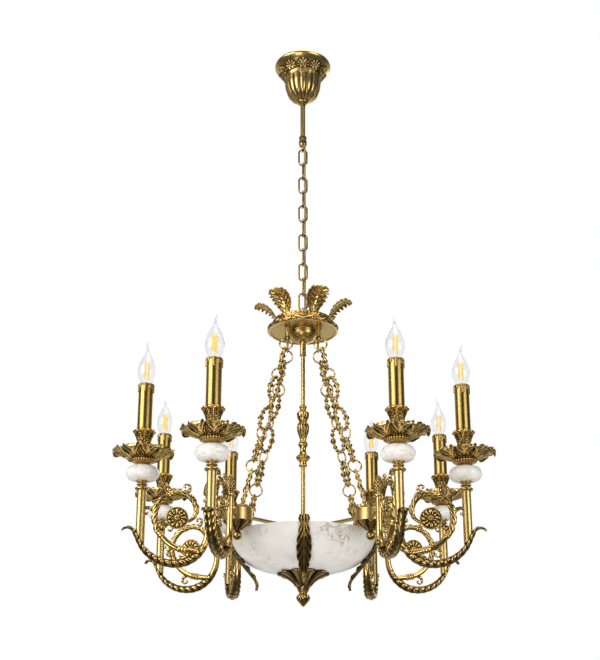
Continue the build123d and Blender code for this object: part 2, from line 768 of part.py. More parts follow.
# Candle stack on each tube
collar_top = z_tube_top + tube_collar_height
collar_step = tube_collar_height / 8
tube_collar = turned([
    (0, z_tube_top),
    (tube_radius + 1, z_tube_top),
    (tube_collar_radius + 1, z_tube_top + collar_step, tube_radius + 1, z_tube_top + 2 * collar_step),
    (tube_radius - 2, z_tube_top + 3 * collar_step, tube_radius + 1, z_tube_top + 4 * collar_step),
    (tube_radius + 2, z_tube_top + 4.5 * collar_step, tube_radius + 1, z_tube_top + 5 * collar_step),
    (tube_radius - 1, z_tube_top + 6 * collar_step, tube_collar_radius - 1, z_tube_top + 7 * collar_step),
    (tube_collar_radius - 1, collar_top),
    (0, collar_top),
])
ball_top = collar_top + ball_height
ball_middle = collar_top + ball_height / 2
ball_shoulder = (ball_seat_radius + ball_radius) / 2 + 4
ball = turned([
    (0, collar_top),
    (ball_seat_radius, collar_top),
    (ball_shoulder, collar_top + 0.14 * ball_height, ball_radius, ball_middle),
    (ball_shoulder, ball_top - 0.14 * ball_height, ball_seat_radius, ball_top),
    (0, ball_top),
])
cup_top = ball_top + pan_cup_height
pan_cup = turned([
    (0, ball_top),
    (ball_seat_radius - 3, ball_top),
    (ball_seat_radius - 2, ball_top + 0.18 * pan_cup_height,
     pan_cup_radius - 6, ball_top + 0.32 * pan_cup_height),
    (pan_cup_radius, ball_top + 0.56 * pan_cup_height, pan_cup_radius - 2, ball_top + 0.8 * pan_cup_height),
    (pan_cup_radius, cup_top),
    (0, cup_top),
])


def scalloped(radius, lobes):
    # A round outline with round lobes at its edge.
    bump = radius * math.sin(math.pi / lobes) * 0.72
    shape = Circle(radius - 0.75 * bump)
    for i in range(lobes):
        shape += Rot(0, 0, 360 / lobes * i) * Pos(radius - bump, 0) * Circle(bump)
    return shape


pan_foot = cup_top
pan_rim = pan_foot + pan_rise
pan = turned([
    (0, pan_foot),
    (pan_cup_radius, pan_foot),
    (0.74 * pan_radius, pan_foot + 0.22 * pan_rise, pan_radius, pan_rim),
    (pan_radius - 0.7 * pan_wall, pan_rim + pan_wall),
    (0.74 * pan_radius - pan_wall, pan_foot + 0.22 * pan_rise + pan_wall,
     pan_cup_radius, pan_foot + pan_wall),
    (0, pan_foot + pan_wall),
])
pan &= extrude(Pos(0, 0, pan_foot) * scalloped(pan_radius, pan_lobes), 2 * pan_rise)

candle_foot = pan_foot + pan_wall
candle_rim = candle_foot + candle_cup_height
socket_floor = candle_rim - cup_socket_depth
candle_cup = turned([
    (0, candle_foot),
    (0.9 * candle_cup_radius, candle_foot),
    (0.9 * candle_cup_radius, candle_foot + 3),
    (0.42 * candle_cup_radius, candle_foot + 0.3 * candle_cup_height,
     0.66 * candle_cup_radius, candle_foot + 0.55 * candle_cup_height),
    (0.8 * candle_cup_radius, candle_foot + 0.72 * candle_cup_height,
     candle_cup_radius, candle_rim - 2),
    (candle_cup_radius, candle_rim),
    (sleeve_radius + fit, candle_rim),
    (sleeve_radius + fit, socket_floor),
    (0, socket_floor),
])

sleeve_top = socket_floor + sleeve_height
sleeve = rod(sleeve_radius, socket_floor, sleeve_top)
sleeve += Pos(0, 0, sleeve_top - 2) * Torus(sleeve_radius - 0.6, 2)
drip_radius = math.pi * sleeve_radius / len(drip_lengths) * 0.55
for i, length in enumerate(drip_lengths):
    drip = rod(drip_radius, sleeve_top - length, sleeve_top - 2)
    drip += Pos(0, 0, sleeve_top - length) * Sphere(drip_radius)
    drip = Pos(sleeve_radius - 0.4 * drip_radius, 0, 0) * drip
    sleeve += Rot(0, 0, 360 / len(drip_lengths) * i) * drip
sleeve -= rod(sleeve_radius - sleeve_wall, socket_floor - 1, sleeve_top + 9)

holder_top = sleeve_top - holder_below_top
cap_top = sleeve_top - 2
holder = rod(holder_radius, holder_top - holder_height, holder_top)
holder += rod(0.4 * holder_radius, socket_floor, holder_top - holder_height)
holder -= rod(bulb_cap_radius + fit, cap_top - bulb_cap_height, sleeve_top)
bulb_cap = rod(bulb_cap_radius, cap_top - bulb_cap_height, cap_top)

# Bulb: a thin flame of glass with a drawn-out tip that bends to one side
bulb_neck = bulb_cap_radius + 1.2
bulb_shoulder = cap_top + bulb_height
bulb_tip_radius = 4.0
bulb_low = (0.9 * bulb_radius, cap_top + 0.2 * bulb_height)
bulb_belly = (bulb_radius, cap_top + 0.42 * bulb_height)
bulb_high = (0.76 * bulb_radius, cap_top + 0.74 * bulb_height)
glass = turned([
    (bulb_cap_radius - 1, cap_top),
    (bulb_neck, cap_top),
    (*bulb_low, *bulb_belly),
    (*bulb_high, bulb_tip_radius, bulb_shoulder),
    (0, bulb_shoulder),
    (0, bulb_shoulder - bulb_wall),
    (bulb_tip_radius - bulb_wall, bulb_shoulder - bulb_wall),
    (bulb_high[0] - bulb_wall, bulb_high[1], bulb_belly[0] - bulb_wall, bulb_belly[1]),
    (bulb_low[0] - bulb_wall, bulb_low[1], bulb_neck - bulb_wall, cap_top + 1),
    (bulb_cap_radius - 1, cap_top + 1),
])
tip_bend = bent((0, bulb_shoulder), 90, [(1.2 * bulb_tip_length, -50)])
glass += tapered(tip_bend, [(2 * bulb_tip_radius, 2 * bulb_tip_radius), (1.6, 1.6)])

filament_foot = cap_top + 0.28 * bulb_height
filaments = rod(2.2, cap_top, filament_foot)
for i in range(filament_count):
    stick = Pos(1.6, 0, filament_foot - 2) * Rot(0, 8, 0) * Pos(0, 0, filament_length / 2) * Cylinder(
        filament_radius, filament_length)
    filaments += Rot(0, 0, 360 / filament_count * i + 20) * stick

candle_places = [Pos(*(place * Pos(candle_reach, 0, 0)).position) for place in arm_places]


def on_candles(solid):
    return [place * solid for place in candle_places]


save("tube_collars", *on_candles(tube_collar))
save("alabaster_balls", *on_candles(ball))
save("pan_cups", *on_candles(pan_cup))
save("drip_pans", *on_candles(pan))
save("candle_cups", *on_candles(candle_cup))
save("candle_sleeves", *on_candles(sleeve))
save("lamp_holders", *on_candles(holder))
save("bulb_caps", *on_candles(bulb_cap))
glasses = [place * Rot(0, 0, turn) * glass for place, turn in zip(candle_places, bulb_tip_turns)]
save("bulb_glasses", *glasses)
save("bulb_filaments", *on_candles(filaments))

# Bowl: an alabaster shell of even wall, bored for the stem
bowl_arcs = [(bowl_shoulder_radius, -bowl_shoulder_turn), (bowl_belly_radius, -bowl_belly_turn)]
inner_arcs = [(radius - bowl_wall, turn) for radius, turn in bowl_arcs]
bowl_lean = math.radians(bowl_rim_heading - 90)
outer_edges = bent((bowl_radius, z_bowl_rim), bowl_rim_heading, bowl_arcs)
inner_rim = (bowl_radius + bowl_wall * math.cos(bowl_lean), z_bowl_rim + bowl_wall * math.sin(bowl_lean))
inner_edges = bent(inner_rim, bowl_rim_heading, inner_arcs)
outer_foot = outer_edges[-1] @ 1
inner_foot = inner_edges[-1] @ 1
bore = stem_radius + fit
bowl_outline = outer_edges + inner_edges + [
    Line(outer_edges[0] @ 0, inner_edges[0] @ 0),
    Line(outer_foot, (bore, 0, outer_foot.Z)),
    Line((bore, 0, outer_foot.Z), (bore, 0, inner_foot.Z)),
    Line((bore, 0, inner_foot.Z), inner_foot),
]
bowl = revolve(make_face(bowl_outline), Axis.Z)
save("alabaster_bowl", bowl)

# Leaf straps: stand on the rim, hug the shoulder, then curl away
strap_off = leaf_thickness / 2 + fit
strap_lean = math.radians(bowl_rim_heading + 90)
strap_rim = (bowl_radius + strap_off * math.cos(strap_lean), z_bowl_rim + strap_off * math.sin(strap_lean))
back = math.radians(bowl_rim_heading + 180)
strap_start = (
    strap_rim[0] + bowl_leaf_rise * math.cos(back),
    strap_rim[1] + bowl_leaf_rise * math.sin(back),
)
strap_edges = bent(strap_start, bowl_rim_heading, [
    (bowl_leaf_rise,),
    (bowl_shoulder_radius + strap_off, -bowl_leaf_hug),
    (bowl_leaf_straight,),
    (bowl_leaf_curl_radius, bowl_leaf_curl),
])
strap = acanthus(strap_edges, bowl_leaf_width, 7, leaf_thickness)
save("bowl_leaves", *around(strap, bowl_leaf_count))

# Finial plate and bud under the bowl
plate = turned([
    (0, z_bowl_foot),
    (plate_radius - 3, z_bowl_foot),
    (plate_radius, z_bowl_foot - 2, plate_radius - 4, z_bowl_foot - 5),
    (0.5 * plate_radius, z_bowl_foot - 0.3 * plate_height, finial_radius - 2, z_plate_foot),
    (0, z_plate_foot),
])
plate &= extrude(Pos(0, 0, z_plate_foot) * scalloped(plate_radius, plate_lobes), plate_height)
save("finial_plate", plate)

bud_waist = 0.6 * finial_radius
finial = turned([
    (0, z_plate_foot),
    (finial_radius - 3, z_plate_foot),
    (bud_waist, z_plate_foot - 3),
    (bud_waist, z_plate_foot - 5),
    (finial_radius, z_plate_foot - 0.42 * finial_height, 0.5 * finial_radius, z_tip + 0.18 * finial_height),
    (0, z_tip),
])
save("bowl_finial", finial)
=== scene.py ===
import bpy
import bmesh
import math
import numpy as np
from mathutils import Matrix, Vector


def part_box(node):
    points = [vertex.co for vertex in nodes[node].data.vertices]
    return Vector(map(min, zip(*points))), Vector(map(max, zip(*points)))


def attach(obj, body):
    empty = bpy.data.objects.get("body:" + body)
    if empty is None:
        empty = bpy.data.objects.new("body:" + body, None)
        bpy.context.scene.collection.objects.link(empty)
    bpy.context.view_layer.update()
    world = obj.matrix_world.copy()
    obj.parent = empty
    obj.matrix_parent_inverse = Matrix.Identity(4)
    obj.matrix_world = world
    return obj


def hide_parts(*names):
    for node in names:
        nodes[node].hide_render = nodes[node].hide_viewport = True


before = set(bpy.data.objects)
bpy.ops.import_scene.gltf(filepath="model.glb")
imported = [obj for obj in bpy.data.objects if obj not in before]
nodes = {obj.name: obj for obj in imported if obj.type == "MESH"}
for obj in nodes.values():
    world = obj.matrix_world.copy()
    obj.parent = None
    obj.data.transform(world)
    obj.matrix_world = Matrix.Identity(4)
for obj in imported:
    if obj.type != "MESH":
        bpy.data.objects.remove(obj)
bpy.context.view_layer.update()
mm = 0.001
fullTurn = 2 * math.pi
print("frame loaded:", len(nodes), "nodes")


def addObject(name, data):
    made = bpy.data.objects.new(name, data)
    bpy.context.collection.objects.link(made)
    return made


# camera at the photograph's angle, a little below the finial and looking up
camera = {"place": (-0.0264, -2.100, -1.504), "pitch": 106.92, "yaw": -0.55,
          "lens": 65.87, "sensor": 36.0, "shift": (0.0, 0.18), "farthest": 60.0}
camData = bpy.data.cameras.new("photoCamera")
camData.sensor_fit = "HORIZONTAL"
camData.sensor_width = camera["sensor"]
camData.lens = camera["lens"]
camData.shift_x, camData.shift_y = camera["shift"]
camData.clip_end = camera["farthest"]
camObject = addObject("photoCamera", camData)
camObject.location = camera["place"]
camObject.rotation_euler = (math.radians(camera["pitch"]), 0, math.radians(camera["yaw"]))
bpy.context.scene.camera = camObject
bpy.context.scene.view_settings.view_transform = "Standard"


# node helpers shared by every finish
def grey(level):
    return (level,) * 3


def newLook(name, sockets):
    look = bpy.data.materials.new(name)
    look.use_nodes = True
    shader = look.node_tree.nodes["Principled BSDF"]
    for socket, value in sockets.items():
        shader.inputs[socket].default_value = value
    return look, look.node_tree, shader


def addNode(tree, kind, **values):
    made = tree.nodes.new(kind)
    for key, value in values.items():
        if key in made.inputs:
            made.inputs[key].default_value = value
        else:
            setattr(made, key, value)
    return made


def feed(tree, socket, value):  # a number, a colour or another node's output
    if isinstance(value, (int, float)):
        socket.default_value = value
    elif isinstance(value, tuple):
        socket.default_value = (*value, 1)
    else:
        tree.links.new(value, socket)


def ramp(tree, source, stops):
    made = addNode(tree, "ShaderNodeValToRGB")
    bar = made.color_ramp.elements
    while len(bar) < len(stops):
        bar.new(0.5)
    for stop, (at, shade) in zip(bar, stops):
        stop.position = at
        stop.color = (*(shade if isinstance(shade, tuple) else grey(shade)), 1)
    tree.links.new(source, made.inputs["Fac"])
    return made.outputs["Color"]


def texture(tree, kind, **values):
    spot = addNode(tree, "ShaderNodeTexCoord")
    made = addNode(tree, kind, **values)
    tree.links.new(spot.outputs["Object"], made.inputs["Vector"])
    return made.outputs["Fac"]


def noise(tree, scale, detail=4.0, rough=0.55, distort=0.0):
    return texture(tree, "ShaderNodeTexNoise", Scale=scale, Detail=detail, Roughness=rough, Distortion=distort)


def mixColor(tree, share, low, high, mode="MIX"):
    made = addNode(tree, "ShaderNodeMix", data_type="RGBA", blend_type=mode)
    for socket, value in ((0, share), (6, low), (7, high)):  # where a mix node keeps its colour sockets
        feed(tree, made.inputs[socket], value)
    return made.outputs[2]


def maths(tree, what, one, two=0.5):
    made = addNode(tree, "ShaderNodeMath", operation=what, use_clamp=what == "ADD")
    feed(tree, made.inputs[0], one)
    feed(tree, made.inputs[1], two)
    return made.outputs[0]


def bumpOn(tree, shader, height, distance, strength):
    made = addNode(tree, "ShaderNodeBump", Distance=distance, Strength=strength)
    tree.links.new(height, made.inputs["Height"])
    tree.links.new(made.outputs["Normal"], shader.inputs["Normal"])


def mottled(name, scale, detail, low, high, sockets):  # a finish whose tone drifts between two shades
    look, tree, shader = newLook(name, sockets)
    tone = ramp(tree, noise(tree, scale, detail), [(0.3, low), (0.7, high)])
    tree.links.new(tone, shader.inputs["Base Color"])
    return look, tree, shader


# brass finishes: bright where rubbed, brown patina where the casting is deep
aging = {"halfAt": 0.26, "halfShare": 0.34, "fullAt": 0.70, "roughGain": 0.28, "patchScale": 42.0, "grainScale": 500.0}
brasses = {  # rubbed, patina, deep, rough, hollowReach, patch, grain
    "castBrass": ((0.82, 0.57, 0.195), (0.070, 0.037, 0.009), 1.0, 0.22, 0.005, 0.35, 0.0002),
    "leafBrass": ((0.97, 0.71, 0.28), (0.22, 0.125, 0.03), 0.65, 0.21, 0.004, 0.2, 0.0001),
    "panBrass": ((0.97, 0.69, 0.25), (0.15, 0.085, 0.020), 0.72, 0.17, 0.005, 0.25, 0.0001),
    "domeBrass": ((0.68, 0.485, 0.165), (0.15, 0.088, 0.024), 0.8, 0.34, 0.008, 0.10, 0),
    "smoothBrass": ((0.70, 0.50, 0.185), (0.26, 0.16, 0.05), 0.6, 0.28, 0.010, 0.10, 0),
    "sleeveBrass": ((0.47, 0.32, 0.098), (0.06, 0.034, 0.010), 1.0, 0.29, 0.006, 0.08, 0),
    "satinBrass": ((0.68, 0.495, 0.20), (0.30, 0.19, 0.06), 0.5, 0.37, 0.008, 0.10, 0),
    "chainBronze": ((0.44, 0.305, 0.115), (0.04, 0.024, 0.008), 0.9, 0.24, 0.004, 0.3, 0),
    "strapBrass": ((0.64, 0.43, 0.14), (0.045, 0.024, 0.007), 1.0, 0.25, 0.005, 0.3, 0.0002),
    "canopyBrass": ((0.72, 0.51, 0.19), (0.12, 0.070, 0.018), 0.95, 0.29, 0.006, 0.12, 0),
}


def brassLook(name, rubbed, patina, deep, rough, hollowReach, patch, grain):
    look, tree, shader = newLook(name, {"Metallic": 1.0})
    cavity = addNode(tree, "ShaderNodeAmbientOcclusion", samples=6, Distance=hollowReach)
    hollow = maths(tree, "SUBTRACT", 1.0, cavity.outputs["AO"])
    recess = addNode(tree, "ShaderNodeAttribute", attribute_name="recess")
    carved = maths(tree, "MULTIPLY", recess.outputs["Fac"], deep)
    dirt = maths(tree, "ADD", maths(tree, "MULTIPLY", hollow, deep), carved)
    patchy = maths(tree, "SUBTRACT", noise(tree, aging["patchScale"], 5.0, 0.6), 0.5)
    dirt = maths(tree, "ADD", dirt, maths(tree, "MULTIPLY", patchy, patch))
    half = tuple(bright + aging["halfShare"] * (dark - bright) for bright, dark in zip(rubbed, patina))
    tone = ramp(tree, dirt, [(0.0, rubbed), (aging["halfAt"], half), (aging["fullAt"], patina)])
    tree.links.new(tone, shader.inputs["Base Color"])
    shine = ramp(tree, dirt, [(0.0, rough), (1.0, rough + aging["roughGain"])])
    tree.links.new(shine, shader.inputs["Roughness"])
    if grain:
        bumpOn(tree, shader, noise(tree, aging["grainScale"], 2.0), grain, 0.25)
    return look


looks = {name: brassLook(name, *values) for name, values in brasses.items()}
castLook, leafLook, strapLook = looks["castBrass"], looks["leafBrass"], looks["strapBrass"]


# alabaster: milky clouds, honey stains, thin brown veins and rusty specks
alabaster = {"milk": (0.81, 0.78, 0.735), "shade": (0.70, 0.66, 0.60), "honey": (0.56, 0.44, 0.29),
             "vein": (0.27, 0.165, 0.07), "rough": 0.30, "glow": 0.12, "glowReach": (0.012, 0.009, 0.006),
             "veinWidth": 0.009, "crackWidth": 0.013, "crackScale": 2.1}


def alabasterLook(name, cloudScale, veinScale):
    look, tree, shader = newLook(name, {"Roughness": alabaster["rough"], "Subsurface Weight": alabaster["glow"],
                                        "Subsurface Radius": alabaster["glowReach"], "Subsurface Scale": 1.0})
    cloud = ramp(tree, noise(tree, cloudScale, 6.0, 0.6, 0.8), [(0.34, alabaster["shade"]), (0.56, alabaster["milk"])])
    stain = ramp(tree, noise(tree, 0.8 * cloudScale, 7.0, 0.68, 1.6), [(0.56, 0), (0.66, 0.55), (0.78, 0.85)])
    veined = mixColor(tree, stain, cloud, alabaster["honey"])
    crackScale = alabaster["crackScale"] * veinScale
    for scale, fine in ((veinScale, alabaster["veinWidth"]), (crackScale, alabaster["crackWidth"])):
        offMiddle = maths(tree, "SUBTRACT", noise(tree, scale, 3.0, 0.52, 0.9), 0.5)
        vein = ramp(tree, maths(tree, "ABSOLUTE", offMiddle), [(0.0, 1), (0.4 * fine, 0.5), (fine, 0)])
        where = ramp(tree, noise(tree, 0.6 * scale, 2.0), [(0.45, 0), (0.62, 0.62)])
        veined = mixColor(tree, maths(tree, "MULTIPLY", vein, where), veined, alabaster["vein"])
    speck = ramp(tree, noise(tree, 16 * veinScale, 2.0, 0.7), [(0.70, 0), (0.78, 0.7)])
    where = ramp(tree, noise(tree, veinScale, 2.0), [(0.50, 0), (0.66, 1)])
    tone = mixColor(tree, maths(tree, "MULTIPLY", speck, where), veined, alabaster["vein"])
    tree.links.new(tone, shader.inputs["Base Color"])
    bumpOn(tree, shader, noise(tree, 260.0, 3.0), 0.0003, 0.3)
    return look


bowlLook = alabasterLook("alabasterBowl", 11.0, 9.0)
ballLook = alabasterLook("alabasterBall", 24.0, 22.0)


# the plain finishes: clear glass, lit filament, plated steel, pale plastic, woven cord
glassLook, tree = newLook("clearGlass", {"Base Color": (0.975, 0.98, 0.985, 1), "Transmission Weight": 1.0,
                                         "Roughness": 0.0, "IOR": 1.45})[:2]
murk = addNode(tree, "ShaderNodeVolumeAbsorption", Color=(0.76, 0.78, 0.82, 1), Density=170.0)  # greys its edges
tree.links.new(murk.outputs["Volume"], tree.nodes["Material Output"].inputs["Volume"])

filamentLook = mottled("amberFilament", 600.0, 2.0, (0.92, 0.62, 0.10), (0.98, 0.74, 0.20),
                       {"Emission Color": (1.0, 0.72, 0.16, 1), "Emission Strength": 0.5, "Roughness": 0.5})[0]
steelLook, tree, shader = mottled("platedSteel", 120.0, 4.0, (0.52, 0.52, 0.51), (0.72, 0.71, 0.69),
                                  {"Metallic": 1.0, "Roughness": 0.32})
bumpOn(tree, shader, noise(tree, 700.0, 2.0), 0.0001, 0.3)
plasticLook, tree, shader = mottled("palePlastic", 90.0, 3.0, (0.78, 0.77, 0.73), (0.86, 0.85, 0.81),
                                    {"Roughness": 0.5})
bumpOn(tree, shader, noise(tree, 1500.0, 2.0), 0.0001, 0.3)

cordLook, tree, shader = newLook("wovenCord", {"Roughness": 0.55, "Sheen Weight": 0.2})
weave = texture(tree, "ShaderNodeTexWave", wave_type="BANDS", bands_direction="DIAGONAL", Scale=420.0, Distortion=0.6)
braid = ramp(tree, weave, [(0.2, (0.17, 0.125, 0.04)), (0.8, (0.40, 0.31, 0.11))])
tree.links.new(braid, shader.inputs["Base Color"])
bumpOn(tree, shader, weave, 0.0004, 0.7)

plainNodes = [
    (looks["smoothBrass"], ["down_rod", "canopy_collar", "stem_ferrule", "stem_tubes", "arm_posts", "arm_nipples",
                            "frame_spokes", "tube_collars", "chain_eyes", "frame_hub", "crown_cap"]),
    (looks["satinBrass"], ["boss_drums", "candle_tubes"]),
    (looks["sleeveBrass"], ["candle_sleeves", "boss_balls"]),
    (castLook, ["side_chain_rings"]),
    (looks["chainBronze"], ["rod_ferrule", "crown_loop"] + [name for name in nodes if name.startswith("chain_link_")]),
    (steelLook, ["ceiling_bracket", "rod_nut", "bulb_caps"]),
    (plasticLook, ["terminal_block", "lamp_holders"]),
]
for look, names in plainNodes:
    for name in names:
        nodes[name].data.materials.clear()
        nodes[name].data.materials.append(look)
print("finishes made and given to the CAD nodes")


# mesh helpers, in millimetres until the mesh itself is made
def footOf(node):
    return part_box(node)[0][2] / mm


def topOf(node):
    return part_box(node)[1][2] / mm


def spin(degrees):
    return Matrix.Rotation(math.radians(degrees), 4, "Z")


def pointing(degrees):  # a unit step in the XZ plane
    return np.array([math.cos(math.radians(degrees)), math.sin(math.radians(degrees))])


def bump(offset, width):
    return np.exp(-(offset / width) ** 2)


def humps(angle):  # round lobes side by side, 0 to 1
    return np.abs(np.sin(angle))


def swell(angle):  # an even wave, 0 to 1
    return 0.5 + 0.5 * np.cos(angle)


def around(count):
    return np.linspace(0, fullTurn, count, endpoint=False)


def within(share, low, lowEase, high, highEase):  # 1 between low and high, easing to 0 at both
    return np.clip((share - low) / lowEase, 0, 1) * np.clip((high - share) / highEase, 0, 1)


def gridFaces(rows, cols, ring):
    row, col = np.meshgrid(np.arange(rows - 1), np.arange(cols if ring else cols - 1), indexing="ij")
    after = (col + 1) % cols
    corners = [row * cols + col, row * cols + after, (row + 1) * cols + after, (row + 1) * cols + col]
    return np.stack(corners, -1).reshape(-1, 4).tolist()


def meshOf(name, points, faces, look, recess=None):  # recess darkens the hollows of a brass finish
    mesh = bpy.data.meshes.new(name)
    mesh.from_pydata((points.reshape(-1, 3) * mm).tolist(), [], faces)
    if recess is not None:
        hollows = mesh.attributes.new("recess", "FLOAT", "POINT")
        hollows.data.foreach_set("value", np.clip(recess, 0, 1).astype(np.float32).ravel())
    shape = bmesh.new()
    shape.from_mesh(mesh)
    bmesh.ops.remove_doubles(shape, verts=shape.verts, dist=1e-6)
    bmesh.ops.recalc_face_normals(shape, faces=shape.faces)
    shape.to_mesh(mesh)
    shape.free()
    mesh.polygons.foreach_set("use_smooth", [True] * len(mesh.polygons))
    mesh.materials.append(look)
    return mesh


def pointsOf(mesh):
    return np.array([vertex.co for vertex in mesh.vertices]) / mm


def movePoints(mesh, points):
    mesh.vertices.foreach_set("co", (points * mm).ravel())


def place(name, mesh, node, matrix=None, body="fixture"):
    piece = addObject(name, mesh)
    if matrix is not None:
        piece.matrix_world = matrix
    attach(piece, body)
    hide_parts(node)
    return piece


def copies(name, mesh, node, places):
    return [place(f"{name}.{i + 1}", mesh, node, spot) for i, spot in enumerate(places)]


def thicken(piece, depth):
    solid = piece.modifiers.new("thickness", "SOLIDIFY")
    solid.thickness = depth * mm
    solid.offset = 0.0
    solid.use_rim = True


def smoothLine(points, perSpan=8):  # a curve through the points
    points = np.asarray(points, float)
    points = np.vstack([2 * points[0] - points[1], points, 2 * points[-1] - points[-2]])
    share = np.linspace(0, 1, perSpan, endpoint=False)[:, None]
    spans = []
    for before, start, end, after in zip(points, points[1:], points[2:], points[3:]):
        square = 2 * before - 5 * start + 4 * end - after
        cube = 3 * start - before - 3 * end + after
        spans.append(0.5 * (2 * start + (end - before) * share + square * share ** 2 + cube * share ** 3))
    return np.vstack(spans + [points[-2:-1]])


def profile(foot, outline, perSpan=8):  # radius and height above the foot, from the foot up the outside
    return smoothLine([(radius, foot + rise) for radius, rise in outline], perSpan)


def alongLine(line):
    step = np.r_[0, np.cumsum(np.linalg.norm(np.diff(line, axis=0), axis=1))]
    return step / step[-1]


def headings(line):
    slope = np.gradient(line, axis=0)
    return slope / (np.linalg.norm(slope, axis=1)[:, None] + 1e-9)


def plain(turn, along):
    return np.zeros_like(turn), np.zeros_like(turn)


def turnedMesh(name, line, look, cols, relief=plain, warp=None):  # line runs from the foot up the outside
    slope = headings(line)
    turn, along = np.meshgrid(around(cols), alongLine(line))
    lift, recess = relief(turn, along)
    radius = np.maximum(line[:, :1] + slope[:, 1:] * lift, 0)
    height = line[:, 1:] - slope[:, :1] * lift
    if warp:
        radius, height = warp(turn, along, radius, height)
    points = np.stack([radius * np.cos(turn), radius * np.sin(turn), height], -1)
    return meshOf(name, points, gridFaces(len(line), cols, True), look, recess)


def turned(name, node, line, relief=plain, look=castLook, warp=None, cols=144, places=None, body="fixture"):
    mesh = turnedMesh(name, line, look, cols, relief, warp)
    return copies(name, mesh, node, places) if places else place(name, mesh, node, body=body)


def stepLength(step):
    return step[0] * math.radians(abs(step[1])) if len(step) > 1 else step[0]


def bentLine(start, heading, steps, gap=0.9):  # arcs (radius, degrees) and straights (length,) in the XZ plane
    points = [np.array(start, float)]
    for step in steps:
        turn = step[1] if len(step) > 1 else 0
        count = max(2, int(stepLength(step) / gap))
        for _ in range(count):
            heading += turn / count / 2
            points.append(points[-1] + stepLength(step) / count * pointing(heading))
            heading += turn / count / 2
    return np.array(points)


def barMesh(name, line, wide, thick, relief, cols):  # a cast oval bar; wide and thick are sizes along the line
    slope = headings(line)
    turn, along = np.meshgrid(around(cols), alongLine(line))
    lift, recess = relief(turn, along)
    out = (np.interp(along, *thick) / 2 + lift) * np.cos(turn)
    side = (np.interp(along, *wide) / 2 + lift) * np.sin(turn)
    across = np.stack([slope[:, 1], -slope[:, 0]], -1)  # outside of a left-hand bend
    points = np.stack([line[:, :1] + across[:, :1] * out, side, line[:, 1:] + across[:, 1:] * out], -1).reshape(-1, 3)
    ends = [[line[i, 0], 0, line[i, 1]] for i in (0, -1)]
    count, last = len(points), len(points) - cols
    caps = [[count, (i + 1) % cols, i] for i in range(cols)]
    caps += [[count + 1, last + i, last + (i + 1) % cols] for i in range(cols)]
    faces = gridFaces(len(line), cols, True) + caps
    return meshOf(name, np.vstack([points, ends]), faces, castLook, np.r_[recess.ravel(), 0, 0])


def leafMesh(name, line, look, wide, pairs, outline, cup, sweep, notch, vein, rib, rows, cols, swirl=0.0):
    # an acanthus leaf on a line in the XZ plane: pointed lobes in pairs, a raised rib and raked veins
    shares = np.linspace(0, 1, rows)
    middle = np.stack([np.interp(shares, alongLine(line), line[:, i]) for i in (0, 1)], -1)
    slope = headings(middle)
    across = np.stack([-slope[:, 1], slope[:, 0]], -1)
    offset, along = np.meshgrid(np.linspace(-1, 1, cols), shares)
    edge = np.abs(offset)
    start = 0.02  # the first lobe begins a little before the foot
    lobe = humps(math.pi * pairs * (along + start))
    half = wide / 2 * np.interp(along, *outline) * (1 - notch * (1 - lobe ** 0.55))
    rake = along - sweep * edge  # veins rake towards the tip
    ridge = swell(fullTurn * pairs * (rake + start - 0.5 / pairs))
    fine = swell(3 * fullTurn * pairs * rake)
    lift = rib * bump(offset, 0.13) + vein * ridge * np.minimum(1, 2.2 * edge) + 0.35 * vein * fine * edge
    lift += cup * half * edge ** 2 + 0.10 * half * np.sin(fullTurn * pairs * rake) * edge ** 3
    shift = sweep * 0.9 * edge * lobe * wide / 2 * (1 - along)  # lobes lean forward
    placed = [middle[:, i:i + 1] + slope[:, i:i + 1] * shift + across[:, i:i + 1] * lift for i in (0, 1)]
    recess = 0.5 * (1 - ridge) * np.minimum(1, 3 * edge) + 0.2 * (1 - fine) * edge - 0.5 * bump(offset, 0.16)
    points = np.stack([placed[0], offset * half + swirl * wide * along ** 2, placed[1]], -1)
    return meshOf(name, points, gridFaces(rows, cols, False), look, recess)


def gadroons(count, at, spread, darkSpread, depth, sharp=0.6, darkSharp=0.6, level=0.6, twist=0.0):
    def relief(turn, along):  # round lobes about one height of the line
        lobe = humps(count / 2 * turn + twist * along)
        lift = bump(along - at, spread) * (lobe ** sharp - level) * depth
        return lift, bump(along - at, darkSpread) * (1 - lobe ** darkSharp)

    return relief


def petals(form):
    def relief(turn, along):  # veined petals side by side, raised over a stretch of the line
        petal = np.abs(np.cos(form["petals"] / 2 * turn))
        vein = humps(form["veins"] * math.pi * along + form["rake"] * humps(form["petals"] / 2 * turn))
        on = within(along, *form["stretch"])
        lift = form["depth"] * (petal ** 0.6 - 0.6) + form["rib"] * petal ** 6 + form["vein"] * vein
        return on * lift, on * np.clip(form["dark"] - petal ** 0.5 + form["veinDark"] * (1 - vein), 0, 1)

    return relief


# canopy: fluted bell under a flared rim with palmettes on its cove
canopy = {"rim": 61.5, "height": 90.0, "flutes": 16, "fluteDepth": 2.8, "bellTop": 0.545, "ledge": 0.562,
          "palmettes": 10, "petals": 3, "petalGap": 25.0, "petalLength": 18.5, "palmetteHeight": 2.6,
          "palmetteFoot": 0.615, "coveRadius": 49.0, "curls": (4.6, -0.6, 3.0), "ledgeHeight": 0.9}
outsideShare, outsideRun = 0.575, 124.0  # share of the whole line that is the outside, and its length


